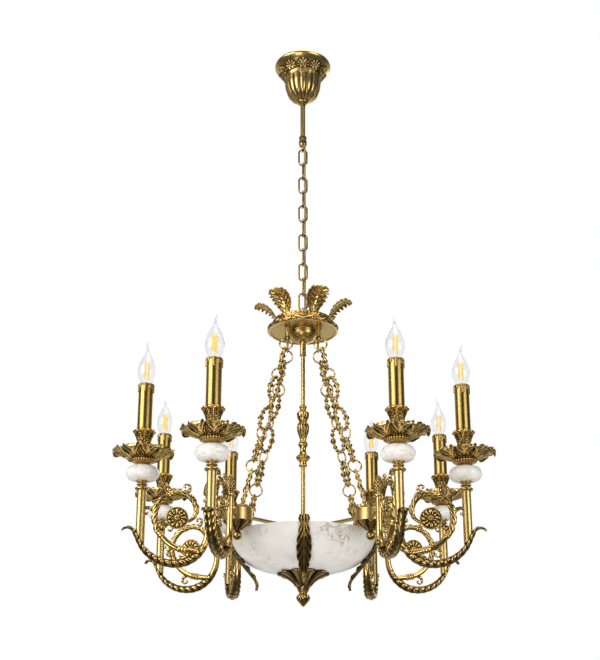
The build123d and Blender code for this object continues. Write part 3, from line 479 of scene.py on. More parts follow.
def canopyRelief(turn, along):
    outside = along < outsideShare
    along = along / outsideShare
    bell = within(along, 0.03, 0.14, canopy["bellTop"], 0.03)
    wave = np.abs(np.cos(canopy["flutes"] * turn / 2)) ** 0.55
    ledge = bump(along - canopy["ledge"], 0.012) * (0.6 + 0.4 * np.cos(canopy["flutes"] * turn))
    cell = fullTurn * canopy["coveRadius"] / canopy["palmettes"]
    across = ((turn * canopy["palmettes"] / fullTurn) % 1 - 0.5) * cell
    up = (along - canopy["palmetteFoot"]) * outsideRun
    reach, lean = np.hypot(across, up), np.arctan2(across, up)
    gap = math.radians(canopy["petalGap"])
    petal = np.clip(np.round(lean / gap), -canopy["petals"], canopy["petals"])  # counted from the middle one
    length = canopy["petalLength"] - 1.5 * np.abs(petal)
    half = np.minimum(0.17 * reach + 0.25, np.sqrt(np.clip(length - reach, 0, None) * 2.6)) + 1e-6
    fan = np.sqrt(np.clip(1 - (np.abs(lean - petal * gap) * reach / half) ** 2, 0, 1))
    fan *= np.clip(reach / 3, 0, 1) * (reach < length)
    curlSide, curlUp, curlSize = canopy["curls"]
    for side in (-curlSide, curlSide):
        curl = np.hypot(across - side, up - curlUp) / curlSize
        fan = np.maximum(fan, np.sqrt(np.clip(1 - curl ** 2, 0, 1)))
    ground = np.clip((canopy["petalLength"] + 2.5 - reach) / 3, 0, 1) * (up > -3.5)
    recess = bell * (1 - wave) * 1.1 + 0.8 * ground * (1 - fan) + 0.5 * bump(along - canopy["bellTop"], 0.008)
    lift = bell * (wave - 0.75) * canopy["fluteDepth"] + fan * canopy["palmetteHeight"] + ledge * canopy["ledgeHeight"]
    return np.where(outside, lift, 0), np.where(outside, recess, 0)


canopyOutside = profile(-canopy["height"], [
    (5.4, 0), (12.5, 0), (15.2, 1.5), (22.5, 5.4), (30, 13), (35.2, 24), (38, 36), (39, 47), (40.5, 56), (45, 66),
    (51.5, 74.5), (57.5, 80.0), (60.6, 83.5), (canopy["rim"], 86.5), (60.3, 89), (57.5, canopy["height"])], perSpan=10)
canopyInside = smoothLine([(57.5, 0), (55.2, -1), (55.0, -6), (48, -17), (41.5, -27), (37, -37), (35.6, -46), (31, -65),
                           (21, -79), (12, -87), (5.4, -87.6)])
canopyLine = np.vstack([canopyOutside, canopyInside[1:]])
turned("canopy", "canopy", canopyLine, canopyRelief, looks["canopyBrass"], cols=320, body="ceiling_group")
print("canopy made")


# crown: thin lip, smooth cove and a leafed band round a smooth dish with a dome in its middle
crown = {"lip": 62.0, "edge": 73.2, "dome": 29.0, "bandLeaves": 26, "vineHeight": 1.5, "leafHeight": 1.9, "ground": 0.6,
         "lipWaves": 44, "lipHeight": 0.7, "wall": 3.0}
crownTop, crownFoot, crownSpan = topOf("crown_ring"), footOf("crown_ring"), 9
crownTall = crownTop - crownFoot
crownOutside = profile(crownFoot, [
    (67.5, 0), (70.6, 0.2), (72.4, 1.8), (crown["edge"], 4.8), (72.4, 8.2), (70.0, 10.2), (65.6, 12.0), (62.4, 14.4),
    (60.8, 17.0), (60.4, 18.8), (61.7, 19.9), (crown["lip"], 21), (61, crownTall), (56, crownTall), (30, crownTall),
    (0, crownTall)], crownSpan)
crownUnder = crownTall - crown["wall"]
crownInside = profile(crownFoot, [
    (0, crownUnder), (52, crownUnder), (55.4, crownTall - 4), (56, crownTall - 8), (56.2, 5.2), (67.2, 4.6), (67.5, 0)],
    perSpan=5)
crownLine = np.vstack([crownOutside, crownInside[1:]])
bandLow, bandHigh, lipLow, lipHigh = (alongLine(crownLine)[crownSpan * i] for i in (1, 5, 9, 12))


def crownRelief(turn, along):
    rise = (along - bandLow) / (bandHigh - bandLow)  # 0 to 1 across the band
    on = within(rise, 0, 0.14, 1, 0.14)
    spot = crown["bandLeaves"] * turn / fullTurn
    vine = bump(rise - 0.5 - 0.27 * np.sin(math.pi * spot), 0.11)
    cell = spot % 1 - 0.5
    aside = rise - 0.5 + 0.24 * (1 - 2 * (np.floor(spot) % 2))  # leaves lie on either side of the vine in turn
    leaf = bump(np.hypot(cell * 2.1, aside * 1.7), 0.42) * (0.62 + 0.38 * np.cos(7 * np.arctan2(aside, cell)))
    lipWave = within(along, lipLow, 0.01, lipHigh, 0.01) * swell(crown["lipWaves"] * turn)
    band = crown["vineHeight"] * vine + crown["leafHeight"] * leaf - crown["ground"]
    shade = np.clip(1.0 - 1.25 * np.maximum(vine, leaf), 0, 1)
    return on * band + crown["lipHeight"] * lipWave, on * shade + 0.5 * lipWave


turned("crownRing", "crown_ring", crownLine, crownRelief, leafLook, cols=312)

domeFoot = footOf("crown_dome")
dish = crownFoot + 1.5 - domeFoot  # height of the dish above the dome's foot
dishTop = dish + crown["wall"]
dishLine = profile(domeFoot, [
    (0, 0), (10.2, 0), (17.5, 2.4), (23.4, 7.4), (27.4, 14), (crown["dome"], dish - 1.2), (31.5, dish), (36, dish),
    (50, dish), (64, dish), (67.4, dish), (67.4, dishTop), (60, dishTop), (0, dishTop)])
turned("crownDome", "crown_dome", dishLine, look=looks["domeBrass"], cols=240)

crownLeaf = {"count": 6, "turn": 22.0, "tall": 50.0, "stand": 55.0, "heading": 80.0, "thick": 1.5}
crownLeafForm = {"wide": 46.0, "pairs": 7, "cup": -0.16, "sweep": 0.22, "notch": 0.26, "vein": 1.4, "rib": 2.0,
                 "outline": ([0, 0.1, 0.34, 0.6, 0.8, 0.92, 1.0], [0.44, 0.62, 0.95, 1.0, 0.84, 0.56, 0.14]),
                 "rows": 140, "cols": 37}
leafLine = bentLine((crownLeaf["stand"], crownTop - 0.4), crownLeaf["heading"],
                    [(3,), (0.95 * crownLeaf["tall"], -62), (0.22 * crownLeaf["tall"], -80)], gap=0.1)
crownLeafMesh = leafMesh("crownLeaf", leafLine, leafLook, **crownLeafForm)
leafPlaces = [spin(crownLeaf["turn"] - 90 + 360 / crownLeaf["count"] * i) for i in range(crownLeaf["count"])]
for leaf in copies("crownLeaf", crownLeafMesh, "crown_leaves", leafPlaces):
    thicken(leaf, crownLeaf["thick"])
print("crown made")


# baluster on the stem: leafed cap, gadrooned vase, ringed knop
capLeaves = {"count": 10, "at": 0.36, "spread": 0.12, "darkSpread": 0.14, "depth": 1.3}
vase = {"lobes": 12, "stretch": (0.27, 0.08, 0.87, 0.06), "sharp": 0.6, "level": 0.7, "depth": 1.4}
knopLeaves = {"count": 14, "at": 0.44, "spread": 0.05, "darkSpread": 0.06, "depth": 1.2, "sharp": 0.7, "darkSharp": 1.0,
              "level": 0.5}
capLine = profile(topOf("baluster_cap"), [
    (0, -34), (7.2, -34), (8.8, -31), (11.4, -25), (12.6, -18), (12.0, -14.6), (9.0, -12.6), (6.6, -9), (6.2, -6.4),
    (7.6, -4.3), (8.0, -2.2), (6.6, -0.3), (0, 0)])
turned("balusterCap", "baluster_cap", capLine, gadroons(**capLeaves))


def vaseRelief(turn, along):
    lobe = humps(vase["lobes"] / 2 * turn) ** vase["sharp"]
    on = within(along, *vase["stretch"])
    return on * (lobe - vase["level"]) * vase["depth"], on * (1 - lobe)


vaseLine = profile(topOf("baluster_vase"), [
    (0, -46), (6.2, -46), (8.6, -43), (6.3, -40), (7.0, -35), (9.0, -28), (11.4, -20), (12.3, -13), (11.4, -6.5),
    (8.6, -1.5), (7.2, 0), (0, 0)], perSpan=9)
turned("balusterVase", "baluster_vase", vaseLine, vaseRelief, cols=192)

knopLine = profile(topOf("baluster_knop"), [
    (0, -47), (7.0, -47), (8.8, -44.4), (7.2, -42), (7.6, -37), (10.5, -33.8), (13.2, -31), (13.9, -28.4),
    (12.2, -25.6), (8.8, -22.6), (6.6, -17), (6.0, -11.5), (7.6, -6.4), (9.6, -3.6), (10.0, -1.6), (8.6, 0), (0, 0)])
turned("balusterKnop", "baluster_knop", knopLine, gadroons(**knopLeaves))
print("baluster made")


# places of the eight arms and their candles
arms = {"bossReach": 173.0, "drumHalf": 11.0, "spread": 33.0, "postReach": 55.0, "postFoot": 33.0, "bend": 61.0,
        "sweep": 70.3, "candleTurn": 60.0}


def outBy(reach):
    return Matrix.Translation((reach * mm, 0, 0))


def moved(places, step):
    return [spot @ step for spot in places]


bossZ = footOf("boss_drums") + arms["drumHalf"]
postFoot = bossZ - arms["postFoot"]
bossPlaces = [spin(45 + 90 * i) @ outBy(arms["bossReach"]) for i in range(4)]
armPlaces = [spot @ spin(way * arms["spread"]) for spot in bossPlaces for way in (-1, 1)]
candleReach = arms["postReach"] + arms["bend"] + arms["sweep"] * math.sin(math.radians(arms["candleTurn"]))
candlePlaces = moved(armPlaces, outBy(candleReach))


# branches: an oval stem wrapped in raked leaf scales, ending in a curled lip
branch = {"steps": [(arms["bend"], 90), (arms["sweep"], 62), (22.0,), (12.0, -122)], "scales": 17, "scaleDepth": 2.2,
          "knots": [0, 0.33, 0.60, 0.76, 0.94, 1.0], "wide": [11.6, 21, 18.5, 17.5, 18, 15],
          "thick": [11.6, 15.5, 12.7, 9.5, 5.0, 2.6]}
branchLine = bentLine((arms["postReach"], postFoot), -90, branch["steps"])


def branchRelief(turn, along):
    back = np.abs((turn + math.pi) % fullTurn - math.pi)  # 0 on the outside of the bend
    wrap = np.clip((along - 0.10) / 0.10, 0, 1)
    cell = (branch["scales"] * along - 0.42 * back) % 1 - 0.5
    oval = np.sqrt(np.clip(1 - (cell / 0.40) ** 2 - ((back - 1.5) / 0.80) ** 2, 0, 1))  # raised leaves down each side
    scale = humps(math.pi * (branch["scales"] * along - 1.4 * back)) ** 0.7
    edge = np.maximum(bump(back, 0.34), bump(back - math.pi, 0.40))
    lift = wrap * (branch["scaleDepth"] * (oval - 0.55) + edge * (1.5 * scale + 0.4))
    return lift, wrap * np.clip(0.60 - 0.95 * oval - 0.6 * edge * scale, 0, 1)


branchWide, branchThick = (branch["knots"], branch["wide"]), (branch["knots"], branch["thick"])
branchMesh = barMesh("armBranch", branchLine, branchWide, branchThick, branchRelief, cols=44)
copies("armBranch", branchMesh, "arm_branches", armPlaces)

# acorn on each post, netted with crossing grooves
acorn = {"rise": 23.0, "scales": 9, "rake": 26.0, "depth": 0.9}


def acornRelief(turn, along):
    nut = within(along, 0.42, 0.05, 0.97, 0.08)
    grooves = [humps(acorn["scales"] * turn * 0.5 + way * acorn["rake"] * along) for way in (1, -1)]
    net = np.minimum(*grooves) ** 0.6
    return nut * (net - 0.5) * acorn["depth"], nut * (1 - net)


acornLine = profile(bossZ + acorn["rise"], [
    (0, 0), (8.6, 0), (9.5, 2), (8.6, 4), (5.4, 6.4), (5.0, 8.5), (6.6, 10.8), (8.6, 12.6), (9.2, 15), (8.9, 20),
    (8.0, 26), (6.0, 33), (3.2, 38.5), (1.2, 41), (0, 42)], perSpan=9)
postPlaces = moved(armPlaces, outBy(arms["postReach"]))
turned("postFinial", "post_finials", acornLine, acornRelief, cols=96, places=postPlaces)
print("branches and posts made")


# scroll: ringed leafy stem winding in to a rosette, with curling tendrils
scroll = {"spring": 40.0, "heading": 8.0, "steps": [(28.7,), (62.0, 82.0), (43.0, 90.0), (31.0, 90.0), (22.0, 70.0)],
          "sizes": [10.6, 11.4, 9.2, 8.6, 8.4, 5.6], "scales": 26,
          "scaleDepth": 1.3, "tipHeight": 2.6, "ringHeight": 1.7,
          "rings": (0.10, 0.121, 0.142, 0.30, 0.316, 0.64, 0.66)}
springAt = np.array([arms["postReach"] + arms["bend"], postFoot]) - arms["bend"] * pointing(scroll["spring"])
scrollLine = bentLine(springAt, scroll["heading"], scroll["steps"])
stepEnds = np.r_[0, np.cumsum([stepLength(step) for step in scroll["steps"]])]
scrollGirth = (stepEnds / stepEnds[-1], scroll["sizes"])  # a size where each step ends


def scrollRelief(turn, along):
    leafy = within(along, 0.31, 0.04, 0.97, 0.1)  # smooth as far as the second collar
    back = (turn + math.pi) % fullTurn - math.pi
    scale = humps(math.pi * (scroll["scales"] * along - 0.9 * np.abs(back))) ** 0.6
    tips = bump(back, 0.75) * humps(scroll["scales"] / 2 * math.pi * along) ** 0.7
    rings = sum(bump(along - at, 0.006) for at in scroll["rings"])
    lift = leafy * (scroll["scaleDepth"] * (scale - 0.6) + scroll["tipHeight"] * tips) + scroll["ringHeight"] * rings
    return lift, leafy * np.clip(1.05 * (1 - scale) - 0.3 * tips, 0, 1) * (1 - np.clip(rings, 0, 1))


scrollMesh = barMesh("scrollStem", scrollLine, scrollGirth, scrollGirth, scrollRelief, cols=28)
copies("scrollStem", scrollMesh, "scroll_stems", armPlaces)

# tendrils: share of the scroll where each leaves, angle it leaves at, size, way it curls, width
tendrils = {"inner": (0.30, 40, 22, 1, 8.0), "outer": (0.46, -40, 19, -1, 8.0), "upper": (0.62, -38, 20, -1, 8.5),
            "crest": (0.74, -40, 17, -1, 7.5), "lower": (0.17, -36, 17, -1, 7.0)}


def tendril(name, at, facing, size, way, wide):
    root = int(at * (len(scrollLine) - 1))
    run = scrollLine[min(root + 1, len(scrollLine) - 1)] - scrollLine[max(root - 1, 0)]
    heading = math.degrees(math.atan2(run[1], run[0])) + facing
    curl = [(0.4 * size,), (0.62 * size, way * 70), (0.34 * size, way * 120), (0.17 * size, way * 150)]

    def lobes(turn, along):
        tip = humps(5 * math.pi * along) ** 0.6
        return np.where(np.cos(turn) * way < 0, 1.0, 0.35) * (tip - 0.6) * 1.5, (1 - tip) * 0.9

    thick = ([0, 0.18, 0.45, 0.8, 0.92, 1], [2.5, wide, 0.8 * wide, 2.6, 4.4, 3.0])
    line = bentLine(scrollLine[root], heading, curl, gap=0.5)
    return barMesh(name, line, ([0, 0.4, 1], [5.5, 5.0, 4.0]), thick, lobes, cols=20)


for name, form in tendrils.items():
    copies(f"scrollLeaf.{name}", tendril(f"scrollLeaf.{name}", *form), "scroll_stems", armPlaces)

rosette = {"radius": 20.4, "petals": 12, "petalDepth": 2.4, "swirl": 0.35, "beads": 40, "beadHeight": 1.2, "heart": 8,
           "bearing": 16.0}


def rosetteRelief(turn, along):
    side = 1 - np.abs(2 * along - 1)  # 0 at the middle of each face, 1 at the rim
    swirl = np.sign(along - 0.5) * rosette["swirl"] * side
    petal = humps(rosette["petals"] / 2 * (turn + swirl))
    body = within(side, 0.28, 0.08, 0.80, 0.08)
    beads = bump(side - 0.90, 0.035) * swell(rosette["beads"] * turn)
    heart = bump(side - 0.12, 0.07) * swell(rosette["heart"] * turn)
    lift = body * (petal ** 0.7 - 0.5) * rosette["petalDepth"] + rosette["beadHeight"] * beads + heart
    return lift, body * (1 - petal ** 0.6) + 0.9 * bump(side - 0.82, 0.03) + 0.8 * bump(side - 0.25, 0.04)


rosetteHalf = smoothLine([(0, -4.6), (3.5, -4.4), (5.8, -3.4), (7.4, -2.4), (11, -3.4), (15, -3.2), (17.4, -2.2),
                          (18.6, -2.9), (20.1, -1.8), (rosette["radius"], 0)], perSpan=6)
rosetteLine = np.vstack([rosetteHalf, (rosetteHalf * [1, -1])[::-1][1:]])
rosetteX, rosetteZ = (scrollLine[-1] + rosette["radius"] * pointing(rosette["bearing"])) * mm
standUp = Matrix.Translation((rosetteX, 0, rosetteZ)) @ Matrix.Rotation(math.radians(90), 4, "X")
turned("rosette", "rosettes", rosetteLine, rosetteRelief, cols=160, places=moved(armPlaces, standUp))
print("scrolls and rosettes made")


# candle stack: alabaster ball, gadrooned cup, leafy drip pan, leafy candle cup
stack = {"ballWide": 30.5, "ballTurn": 47, "panRadius": 58.5, "panThick": 2.6, "panTurn": 13,
         "panFlutes": 32, "fluteDepth": 1.6, "panLeaves": 8, "panLeafThick": 1.5,
         "cupLeaves": 10, "cupDepth": 1.7, "tipDepth": 2.2, "footLobes": 18, "footDepth": 1.1}
ballFoot, ballTop, panFoot = footOf("alabaster_balls"), topOf("alabaster_balls"), topOf("pan_cups")
tall = ballTop - ballFoot
ballLine = profile(ballFoot, [
    (0, 0), (13.5, 0), (21.5, 0.06 * tall), (27.6, 0.21 * tall), (stack["ballWide"], 0.5 * tall), (27.6, 0.79 * tall),
    (21.5, 0.94 * tall), (13.5, tall), (0, tall)])
ballPlaces = [spot @ spin(stack["ballTurn"] * i) for i, spot in enumerate(candlePlaces)]
turned("alabasterBall", "alabaster_balls", ballLine, look=ballLook, cols=96, places=ballPlaces)

tall, cupSpan = panFoot - ballTop, 7
cupLine = profile(ballTop, [
    (0, 0), (11, 0), (11.8, 0.10 * tall), (14.0, 0.24 * tall), (17.4, 0.34 * tall), (20.4, 0.44 * tall),
    (21.8, 0.58 * tall), (21.0, 0.74 * tall), (19.9, 0.82 * tall), (20.8, 0.90 * tall), (21.9, 0.96 * tall),
    (21.9, tall), (0, tall)], cupSpan)
cupLobes = {"count": 26, "at": alongLine(cupLine)[cupSpan * 6], "spread": 0.075, "darkSpread": 0.09, "depth": 1.7,
            "darkSharp": 0.5}  # round the cup's widest point
turned("panCup", "pan_cups", cupLine, gadroons(**cupLobes), cols=156, places=candlePlaces)

panUnder = profile(panFoot, [(0, 0), (12, 0), (20, 0.3), (26, 1.6), (34, 4.4), (41, 7.8), (45, 10.4)], perSpan=9)
panOver = profile(panFoot, [(45, 11.4), (41, 10.2), (33, 7.0), (25, 4.2), (18, 2.8), (0, stack["panThick"])])
panLine = np.vstack([panUnder, panOver])
panSplit = alongLine(panLine)[len(panUnder)]


def panRelief(turn, along):
    under = along < panSplit
    out = np.where(under, along / panSplit, (1 - along) / (1 - panSplit))  # 0 at the middle, 1 at the rim
    swirl = humps(stack["panFlutes"] / 2 * turn + 5.0 * out) ** 0.6  # leaves swirl outward
    on = np.clip((out - 0.42) / 0.06, 0, 1)
    return np.where(under, on * stack["fluteDepth"] * (swirl - 0.7), 0), on * (1 - swirl)


panPlaces = [spot @ spin(stack["panTurn"] * i) for i, spot in enumerate(candlePlaces)]
turned("dripPan", "drip_pans", panLine, panRelief, looks["panBrass"], cols=192, places=panPlaces)

# leaves lie round the pan, their tips drooping and curled in
panLeafForm = {"wide": 40.0, "pairs": 3, "cup": 0.12, "sweep": 0.45, "notch": 0.28, "vein": -2.2, "rib": -2.4,
               "outline": ([0, 0.25, 0.5, 0.68, 0.82, 0.93, 1.0], [0.44, 0.62, 0.96, 1.0, 0.72, 0.42, 0.10]),
               "swirl": 0.34, "rows": 88, "cols": 27}
panLeafLine = profile(panFoot, [(19, 0.4), (27, 1.4), (35, 3.6), (43, 7.0), (50, 10.0), (55, 10.8), (58, 8.6),
                                (58.2, 5.4), (56.2, 3.6)], perSpan=16)
panLeafMesh = leafMesh("panLeaf", panLeafLine, looks["panBrass"], **panLeafForm)
leafPoints = pointsOf(panLeafMesh)
outward = np.hypot(leafPoints[:, 0], leafPoints[:, 1])
easy, most = stack["panRadius"] - 6, stack["panRadius"] - 1  # tips that lie further out than easy are drawn in
drawnIn = easy + (most - easy) * np.tanh((outward - easy) / (most - easy))
leafPoints[:, :2] *= (np.where(outward > easy, drawnIn, outward) / outward)[:, None]
movePoints(panLeafMesh, leafPoints)
for k in range(stack["panLeaves"]):
    places = moved(panPlaces, spin(360 / stack["panLeaves"] * k))
    for piece in copies(f"panLeaf.{k + 1}", panLeafMesh, "drip_pans", places):
        thicken(piece, stack["panLeafThick"])

holderSpan = 6
holderLine = profile(panFoot + stack["panThick"], [
    (0, 0), (18, 0), (18.4, 1.5), (16.5, 3.4), (12.2, 5.6), (10.2, 9), (10.4, 12.0), (12.2, 14), (12.8, 15.6),
    (11.8, 17.6), (11.2, 21), (11.9, 26), (13.2, 31), (15.0, 36), (17.2, 40.5), (19.6, 43.4), (20.4, 45.4),
    (19.4, 47.4), (17, 48), (14.2, 48), (14.1, 40), (13.9, 36.2), (0, 36)], holderSpan)
neckLow, neckHigh, cupLip, footRing = (alongLine(holderLine)[holderSpan * i] for i in (9, 14, 16, 8))


def holderRelief(turn, along):
    rise = (along - neckLow) / (neckHigh - neckLow)  # 0 to 1 up the flared neck
    on = within(rise, 0, 0.12, 1.08, 0.10)
    cell = (turn * stack["cupLeaves"] / fullTurn) % 1 - 0.5
    stem = bump(cell, 0.10) + bump(np.abs(cell) - 0.5 + 0.16 * np.sin(5.5 * rise), 0.08)
    aside = (np.abs(cell) - 0.25) * 2.4
    curl = sum(bump(np.hypot(aside, (rise - at) * 2.6) - 0.26, 0.11) for at in (0.22, 0.56, 0.86))
    form = np.clip(np.maximum(stem, curl), 0, 1)
    lobe = humps(stack["footLobes"] / 2 * turn)
    tips = bump(along - cupLip, 0.030) * (np.abs(np.cos(stack["cupLeaves"] / 2 * turn)) ** 0.7 - 0.5)
    foot = bump(along - footRing, 0.03) * (lobe ** 0.7 - 0.5)
    lift = stack["cupDepth"] * on * (form - 0.45) + stack["footDepth"] * foot + stack["tipDepth"] * tips
    recess = on * (1 - form) + bump(along - footRing, 0.04) * (1 - lobe)
    return lift, recess + 0.7 * bump(along - cupLip, 0.03) * (0.5 - tips)


turned("candleCup", "candle_cups", holderLine, holderRelief, cols=128, places=candlePlaces)
print("candle stacks made")


# flame bulbs of thin glass, each tip bent its own way
bulb = {"wall": 0.8, "hollowTop": 72.0, "tipFoot": 64.0, "tipLean": 0.0125, "tipDrop": 0.0042,
        "tipTurns": (200, 20, 60, 140, 250, 310, 100, 330)}
glassFoot = footOf("bulb_glasses")
bulbOut = profile(glassFoot, [
    (6.6, 0), (8.2, 0.3), (10.6, 5), (14.4, 13), (17.0, 22), (17.5, 28.5), (16.4, 37), (13.4, 46), (9.4, 55),
    (6.0, 61.5), (4.0, 66), (3.1, 70), (2.4, 75), (1.7, 80), (0.9, 84.5), (0.0, 86)], perSpan=6)
bulbIn = bulbOut.copy()
bulbIn[:, 0] = np.maximum(bulbIn[:, 0] - bulb["wall"], 0)
bulbIn = bulbIn[bulbIn[:, 1] < glassFoot + bulb["hollowTop"]]
bulbIn[-1, 0] = 0.0
bulbLine = np.vstack([bulbOut, bulbIn[::-1], bulbOut[:1]])  # closed at the neck, so the hollow faces inward
bulbMesh = turnedMesh("bulbGlass", bulbLine, glassLook, cols=40)
bulbPoints = pointsOf(bulbMesh)
over = np.clip(bulbPoints[:, 2] - glassFoot - bulb["tipFoot"], 0, None)
bulbPoints[:, 0] += bulb["tipLean"] * over ** 2
bulbPoints[:, 2] -= bulb["tipDrop"] * over ** 2
movePoints(bulbMesh, bulbPoints)
bulbPlaces = [Matrix.Translation(spot.translation) @ spin(turn) for spot, turn in zip(candlePlaces, bulb["tipTurns"])]
copies("bulbGlass", bulbMesh, "bulb_glasses", bulbPlaces)

filament = {"sticks": 4, "reach": 4.6, "turn": 35, "thick": 1.25, "from": 16.0, "to": 46.0}
stickLine = profile(glassFoot, [
    (0, filament["from"] - 1), (filament["thick"], filament["from"]), (filament["thick"], filament["to"]),
    (0, filament["to"] + 1)], perSpan=6)
for k in range(filament["sticks"]):
    offset = spin(360 / filament["sticks"] * k + filament["turn"]) @ outBy(filament["reach"])
    turned(f"filament.{k + 1}", "bulb_filaments", stickLine, look=filamentLook, cols=12,
           places=moved(candlePlaces, offset))
wireFoot = footOf("bulb_filaments")
stemLine = smoothLine([
    (0, wireFoot), (2.0, wireFoot), (1.6, glassFoot + 6), (0.6, glassFoot + 13), (0, glassFoot + 14)], perSpan=6)
turned("filamentStem", "bulb_filaments", stemLine, look=glassLook, cols=16, places=candlePlaces)
print("bulbs made")


# alabaster bowl, its leaf straps, and the leafed plate and bud under it
bowl = {"rim": 141.0, "wall": 7.0, "heading": -97.0, "arcs": [(73.0, -62), (173.0, -18)], "hole": 4.6}


def fromRim(distance, bearing):  # a point at a distance from the bowl's rim
    return np.array([bowl["rim"], bowlTop]) + distance * pointing(bearing)


bowlTop = topOf("alabaster_bowl")
innerArcs = [(radius - bowl["wall"], degrees) for radius, degrees in bowl["arcs"]]
bowlOut = bentLine((bowl["rim"], bowlTop), bowl["heading"], bowl["arcs"], gap=2)
bowlIn = bentLine(fromRim(bowl["wall"], bowl["heading"] - 90), bowl["heading"], innerArcs, gap=2)
bowlLine = np.vstack([[(bowl["hole"], bowlOut[-1, 1])], bowlOut[::-1], bowlIn, [(bowl["hole"], bowlIn[-1, 1])]])
turned("alabasterBowl", "alabaster_bowl", bowlLine, look=bowlLook, cols=192)

strap = {"rise": 13.0, "hug": 33.0, "straight": 52.0, "curl": (28.0, 55.0), "thick": 1.8, "off": 4.2}
strapForm = {"wide": 29.0, "pairs": 7, "cup": -0.34, "sweep": 0.26, "notch": 0.24, "vein": 2.0, "rib": 3.2,
             "outline": ([0, 0.05, 0.10, 0.16, 0.40, 0.62, 0.80, 0.93, 1.0],
                         [0.62, 0.72, 0.50, 0.62, 1.0, 0.92, 0.56, 0.30, 0.04]), "rows": 190, "cols": 35}
strapStart = fromRim(strap["off"], bowl["heading"] + 90) - strap["rise"] * pointing(bowl["heading"])
strapSteps = [(strap["rise"],), (bowl["arcs"][0][0] + strap["off"], -strap["hug"]), (strap["straight"],), strap["curl"]]
strapMesh = leafMesh("bowlStrap", bentLine(strapStart, bowl["heading"], strapSteps), strapLook, **strapForm)
for piece in copies("bowlStrap", strapMesh, "bowl_leaves", [spin(90 * i) for i in range(4)]):
    thicken(piece, strap["thick"])

plate = {"petals": 10, "stretch": (0.14, 0.06, 0.62, 0.05), "depth": 2.2, "rib": 0.9, "vein": 0.5, "veins": 22,
         "rake": 3.2, "dark": 1.05, "veinDark": 0.3, "notch": 0.20, "notchRise": 2.0}
plateFoot = footOf("finial_plate")
plateLine = profile(plateFoot, [
    (0, 0), (9.5, 0), (12, 3), (14, 8), (18, 14.5), (25, 20.5), (33, 25.5), (41, 28.6), (46.5, 30), (48.6, 31.6),
    (47, 33.4), (42, 33.9), (0, topOf("finial_plate") - plateFoot)], perSpan=9)


def plateEdge(turn, along, radius, height):  # the rim is notched between its petals
    valley = 1 - np.abs(np.cos(plate["petals"] / 2 * turn)) ** 0.7
    edge = within(along, 0.30, 0.25, 0.75, 0.12)
    return radius * (1 - plate["notch"] * edge * valley), height + edge * valley * plate["notchRise"]


turned("finialPlate", "finial_plate", plateLine, petals(plate), strapLook, plateEdge, cols=320)

budLeaves = {"count": 8, "at": 0.38, "spread": 0.16, "darkSpread": 0.18, "depth": 1.5, "level": 0.5, "twist": 3.0}
budLine = profile(footOf("bowl_finial"), [
    (0, 0), (1.6, 0.8), (4.6, 3.6), (8.6, 8.6), (12.0, 14.2), (12.9, 18), (11.4, 22), (8.4, 24.6), (7.9, 26.6),
    (9.6, 28.6), (10, 31), (0, 31)])
turned("bowlFinial", "bowl_finial", budLine, gadroons(**budLeaves), cols=160)

# leafed pendant cones under the four drums
pendant = {"petals": 8, "stretch": (0.1, 0.08, 0.60, 0.05), "depth": 2.0, "rib": 0.0, "vein": 0.6, "veins": 15,
           "rake": 2.6, "dark": 1.1, "veinDark": 0.35}
pendantFoot = footOf("boss_pendants")
pendantLine = profile(pendantFoot, [
    (0, 0), (4, 0), (6.4, 1.4), (9, 3.6), (12, 6.6), (16.5, 9.4), (20.6, 12.4), (23.4, 15), (24.2, 16.6), (23.6, 17.8),
    (0, topOf("boss_pendants") - pendantFoot)], perSpan=9)
turned("bossPendant", "boss_pendants", pendantLine, petals(pendant), cols=224, places=bossPlaces)
print("bowl, straps and pendants made")


# side-chain links and hooks: open loops with leafy knots, set where the CAD loops hang
sideLink = {"halfWide": 10.0, "straight": 0.0, "wire": 2.4, "knot": 3.8, "bud": 2.6, "petals": 5}
sideHook = {"halfWide": 9.0, "straight": 0.75, "wire": 2.2, "knot": 2.6, "bud": 2.0, "petals": 5}  # straight is a share
loopRows, loopCols = 132, 20


def hungLoops(node):
    # each loop of a CAD node: its own matrix, and how far it reaches from its middle
    shape = bmesh.new()
    shape.from_mesh(nodes[node].data)
    bmesh.ops.remove_doubles(shape, verts=shape.verts, dist=1e-6)
    shape.verts.ensure_lookup_table()
    left, loops = set(range(len(shape.verts))), []
    while left:
        patch, edge = set(), [left.pop()]
        while edge:
            at = edge.pop()
            patch.add(at)
            for wire in shape.verts[at].link_edges:
                other = wire.other_vert(shape.verts[at]).index
                if other in left:
                    left.discard(other)
                    edge.append(other)
        cloud = np.array([nodes[node].matrix_world @ shape.verts[i].co for i in patch])
        middle = (cloud.min(0) + cloud.max(0)) / 2
        axes = np.linalg.svd(cloud - cloud.mean(0), full_matrices=False)[2]  # along the loop, across it, square to it
        facing = np.stack([axes[1], np.cross(axes[0], axes[1]), axes[0]], -1)
        matrix = Matrix.Translation(middle) @ Matrix(facing.tolist()).to_4x4()
        loops.append((matrix, np.abs((cloud - middle) @ axes[0]).max() / mm))
    shape.free()
    return loops


